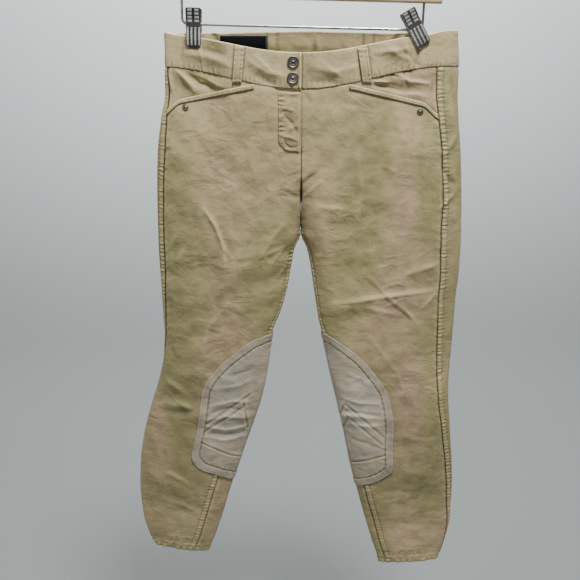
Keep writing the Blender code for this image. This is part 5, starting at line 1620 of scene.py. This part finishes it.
class MakeStitching(bpy.types.Operator):
    """Every visible line of sewing, and the bar tacks"""

    bl_idname = "breeches.stitching"
    bl_label = "Stitching"

    def execute(self, context):
        settings = context.scene.breeches
        thread = Thread(settings)
        for leg in LEGS:
            front, back = CLOTHS[f"front_{leg.name}_cloth"], CLOTHS[f"back_{leg.name}_cloth"]
            for inset in LAP_STITCHES:
                thread.sew(*back.line(inset))
                thread.sew(*front.line(inset, slice(CROTCH_ROW + 4, None)))
            for cloth in (front, back):
                thread.sew(*cloth.level_line(nearest(cloth.up, HEM, 60)))
        front, back = CLOTHS["front_left_cloth"], CLOTHS["back_left_cloth"]
        below_fly = np.nonzero((front.z[:, 0] < -0.330) & (front.z[:, 0] > CROTCH_Z + 0.004))[0]
        thread.sew(*front.line(1.8 * MM, below_fly))
        for inset in LAP_STITCHES:
            thread.sew(*back.line(-inset, slice(4, CROTCH_ROW - 2)))
        thread.finish("leg_stitching")

        thread = Thread(settings)
        for name in ("waistband_front_right", "waistband_front_left", "waistband_back"):
            cloth = CLOTHS[f"{name}_cloth"]
            for row in (nearest(cloth.down, BAND_TOP_STITCH, 40), nearest(cloth.up, BAND_LOW_STITCH, 40)):
                thread.sew(*cloth.level_line(row, slice(2, -2)))
        thread.sew(*CLOTHS["waistband_front_right_cloth"].line(3 * MM, slice(2, -2)))
        for leg in LEGS:
            for row in (7, 2):
                thread.sew(*CLOTHS[f"pocket_welt_{leg.name}_cloth"].level_line(row))
        cloths = Ground(*(name for name in CLOTHS if not name.startswith(("knee", "label"))))
        for node, _, _, face in BELT_LOOPS:
            loop = CLOTHS[f"{node}_cloth"]
            for column in (5, 16):
                thread.sew(loop.points[2:-2, column], loop.facing[2:-2, column])
            for row in (3, -4):
                thread.tack(cloths, loop.points[row, 4, ::2], loop.points[row, -5, ::2], OUTWARD[face], 10)
        foot, edge = FLY_FOOT + 2.2 * MM, FLY_EDGE - 2.2 * MM
        side = [(FLY_EDGE - float(fly_reach(z)) + 2.4 * MM, z)
                for z in np.linspace(FLY_TOP - 2 * MM, FLY_FOOT + 3 * MM, 40)]
        for places in ([*side, (-0.010, foot), (FLY_EDGE - 1.5 * MM, foot)],
                       [(-0.0270, -0.3100), (-0.0230, -0.3170), (-0.0170, -0.3205), (-0.0045, -0.3210)],
                       [(edge, FLY_TOP - 4 * MM), (edge, FLY_FOOT + 4 * MM)]):
            thread.sew(*cloths.line(places, FORWARD))
        for leg in LEGS:
            x, z = POCKET_START + 5 * MM, float(leg.pocket_mouth(POCKET_START + 5 * MM))
            thread.tack(cloths, (leg.sign * x, z + MM), (leg.sign * (x + MM), z - WELT), FORWARD, 9)
        for x, z in ((-0.040, -0.1655), (0.098, -0.1645)):
            thread.tack(cloths, (x, z), (x + 6 * MM, z), FORWARD, 8)
        thread.finish("top_stitching")

        thread = Thread(settings)
        for leg in LEGS:
            for inset in (2.2 * MM, BORDER - 2 * MM, BORDER + 2 * MM):
                for points, normals in long_runs(*patch_line(leg, inset)):
                    thread.sew(points, normals)
            suede = Ground(f"knee_patch_{leg.name}_suede")
            for face, seams in PATCH_SEAMS[leg.name].items():
                for places in seams:
                    thread.sew(*suede.line(np.array(places) * MM + (0, 2 * MM), OUTWARD[face]))
        thread.finish("patch_stitching")
        return {"FINISHED"}


# ---------------------------------------------------------------- hanger
ROD_Z, HANGER_TILT = -0.1510, math.radians(1.4)
JAW_HALF, JAW_TOP, JAW_LOW = 11 * MM, 22 * MM, -33 * MM
JAW_ROWS, JAW_COLUMNS, JAW_WALL = 92, 42, 1.2 * MM
# height along a jaw and distance of its inner face from the rod's middle plane, in millimetres
JAW_FACE = [(22, 8.0), (15, 6.4), (8, 4.6), (3, 4.1), (-8, 4.1), (-21, 5.1), (-29, 4.5), (-33, 4.1)]
# name, place along the rod, turn and slide of a pair of jaws, and how bright the painted reflection makes
# their hollows
CLIPS = [("right", -0.1575, 0.0, 0.0, 0.0), ("left", 0.1660, math.radians(31), 8 * MM, 0.10)]


def jaw_grid(facing):
    """A pressed jaw: two columns of bars above the rod, four ribs below, a rounded foot."""
    z = np.linspace(JAW_TOP, JAW_LOW, JAW_ROWS)[:, None] + np.zeros((1, JAW_COLUMNS))
    share = np.linspace(-1, 1, JAW_COLUMNS)[None, :] + np.zeros((JAW_ROWS, 1))
    beside = abs(share)
    foot = np.clip((JAW_LOW + 7 * MM - z) / (7 * MM), 0, 1)
    head = np.clip((z - JAW_TOP + 3 * MM) / (3 * MM), 0, 1)
    half = JAW_HALF * (1 - 0.42 * (1 - np.sqrt(np.clip(1 - foot ** 2, 0, 1))) - 0.10 * head ** 2)
    heights, faces = zip(*JAW_FACE)
    y = np.interp(-z / MM, [-h for h in heights], faces) * MM
    bars = (smooth((0.78 - 2 * abs(np.mod((z - 1.5 * MM) / (4.9 * MM), 1.0) - 0.5)) / 0.3)
            * smooth((0.34 - abs(beside - 0.46)) / 0.08)
            * smooth((z - 1 * MM) / MM) * smooth((21 * MM - z) / MM))
    ribs = (smooth((np.cos((share * 2 + 0.5) * 2 * math.pi) + 0.35) / 0.8) * (beside < 0.99)
            * smooth((-3.5 * MM - z) / (2 * MM)) * smooth((z + 31 * MM) / (3 * MM)))
    rim = bell(beside - 0.97, 0.05)
    y = y + MM * (1.3 + 0.75 * bars + 0.8 * ribs + 0.35 * rim)
    # The second value is the painted reflection: bright on the bars, ribs and rim, dark between them.
    return np.stack([share * half, facing * y, z], 2), np.clip(bars + ribs ** 1.5 + 0.4 * rim, 0, 1)


class MakeClips(bpy.types.Operator):
    """The pressed steel jaws of both clips"""

    bl_idname = "breeches.clips"
    bl_label = "Clips"

    def execute(self, context):
        for name, along, turn, slide, shine in CLIPS:
            place = (Matrix.Rotation(HANGER_TILT, 4, "Y") @ Matrix.Translation((along, 0, ROD_Z))
                     @ Matrix.Rotation(-turn, 4, "Y") @ Matrix.Translation((0, 0, slide)))
            for part, facing in (("front", -1), ("back", 1)):
                points, tone = jaw_grid(facing)
                points = points - np.array([GARMENT_X, 0, 0])
                painted_light_and_marks = {"tone": shine + (1 - shine) * tone}
                outward = np.tile(np.array([0.0, facing, 0.0]), (*points.shape[:2], 1))
                mesh = grid_mesh(f"clip_{name}_{part}_jaw", points, points[..., [0, 2]], painted_light_and_marks, outward)
                mesh.transform(place)
                show(mesh, "chrome", [f"clip_{name}_{part}"], JAW_WALL)
        return {"FINISHED"}


class FinishHanger(bpy.types.Operator):
    """Beech on the bar, and steel on the hook, the wire and the clip springs"""

    bl_idname = "breeches.hanger"
    bl_label = "Hanger"

    def execute(self, context):
        for node, finish in (("hanger_bar", "wood"), ("hanger_hook", "steel"), ("hanger_wire", "steel"),
                             ("clip_right_spring", "steel"), ("clip_left_spring", "steel")):
            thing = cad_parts[node]
            if not thing.material_slots:
                thing.data.materials.append(None)
            for slot in thing.material_slots:
                slot.material = finishes()[finish]
        return {"FINISHED"}


# ---------------------------------------------------------------- studio
CAMERA_PLACE, CAMERA_DOWN, CAMERA_LENS = (-0.0215, -1.10, -0.2142), 17.0, 44.13
FLOOR_Z, BACKDROP_Y, BACKDROP_TOP, FLOOR_FRONT = -1.45, 3.6, 5, -6
SWEEP_HALF, SWEEP_BEND = 7, 1.6
AIR_COLOUR, AIR_STRENGTH = (0.93, 0.97, 1.0, 1), 0.20
# name, place, aim, size in metres and power in watts of each lamp
LIGHTS = [("key_light", (0.30, -0.75, 1.45), (0, 0, -0.40), 0.42, 74),
          ("front_light", (-0.9, -2.6, 0.4), (0, 0, -0.55), 2.0, 7),
          ("side_light", (-2.0, -0.1, 0.6), (0, 0, -0.5), 0.9, 9),
          ("wall_light", (0, 1.2, 2.4), (0, 3.6, 0.2), 2.5, 225)]


class MakeStudio(bpy.types.Operator):
    """A pale floor that curves up into a backdrop, soft lights and the camera"""

    bl_idname = "breeches.studio"
    bl_label = "Studio"

    def execute(self, context):
        scene = context.scene
        bm = bmesh.new()
        section = (BACKDROP_Y, BACKDROP_TOP), (BACKDROP_Y, FLOOR_Z), (FLOOR_FRONT, FLOOR_Z)
        edge = [bm.verts.new((-SWEEP_HALF, y, z)) for y, z in section]
        for pair in zip(edge, edge[1:]):
            bm.edges.new(pair)
        bmesh.ops.bevel(bm, geom=[edge[1]], offset=SWEEP_BEND, segments=24, profile=0.5, affect="VERTICES",
                        material=-1)
        moved = bmesh.ops.extrude_edge_only(bm, edges=list(bm.edges))["geom"]
        far_side = [g for g in moved if isinstance(g, bmesh.types.BMVert)]
        bmesh.ops.translate(bm, vec=(2 * SWEEP_HALF, 0, 0), verts=far_side)
        bmesh.ops.recalc_face_normals(bm, faces=bm.faces)
        mesh = meshed("studio_sweep", bm)
        mesh.shade_smooth()
        mesh.materials.append(finishes()["studio"])
        placed_object("studio_sweep", mesh)
        for name, place, aim, wide, power in LIGHTS:
            lamp = bpy.data.lights.new(name, "AREA")
            lamp.shape, lamp.size, lamp.energy = "SQUARE", wide, power
            thing = placed_object(name, lamp)
            thing.location = place
            thing.rotation_euler = (Vector(aim) - Vector(place)).to_track_quat("-Z", "Y").to_euler()
        world = bpy.data.worlds.new("studio_air")
        world.use_nodes = True
        air = world.node_tree.nodes["Background"]
        air.inputs["Color"].default_value, air.inputs["Strength"].default_value = AIR_COLOUR, AIR_STRENGTH
        scene.world = world
        camera = bpy.data.cameras.new("camera")
        camera.lens, camera.sensor_width = CAMERA_LENS, 36
        scene.camera = placed_object("camera", camera)
        scene.camera.location = CAMERA_PLACE
        scene.camera.rotation_euler = (math.radians(90 - CAMERA_DOWN), 0, 0)
        return {"FINISHED"}


class BreechesPanel(bpy.types.Panel):
    """Lists the pieces of the breeches"""

    bl_idname = "BREECHES_PT_pieces"
    bl_label = "Breeches"
    bl_space_type = "VIEW_3D"
    bl_region_type = "UI"
    bl_category = "Breeches"

    def draw(self, context):
        for step in STEPS:
            self.layout.operator(step.bl_idname)
        for key in BreechesSettings.__annotations__:
            self.layout.prop(context.scene.breeches, key)


STEPS = [MakePanels, MakeWaistband, MakePockets, MakeFly, MakeBeltLoops, MakeLabel, MakeKneePatches,
         MakeFasteners, MakeStitching, MakeClips, FinishHanger, MakeStudio]
CLASSES = [BreechesSettings, *STEPS, BreechesPanel]


def register():
    for made in CLASSES:
        bpy.utils.register_class(made)
    bpy.types.Scene.breeches = PointerProperty(type=BreechesSettings)


def unregister():
    del bpy.types.Scene.breeches
    for made in reversed(CLASSES):
        bpy.utils.unregister_class(made)


def main():
    register()
    for step in STEPS:
        group, name = step.bl_idname.split(".")
        getattr(getattr(bpy.ops, group), name)()


if __name__ == "__main__":
    main()
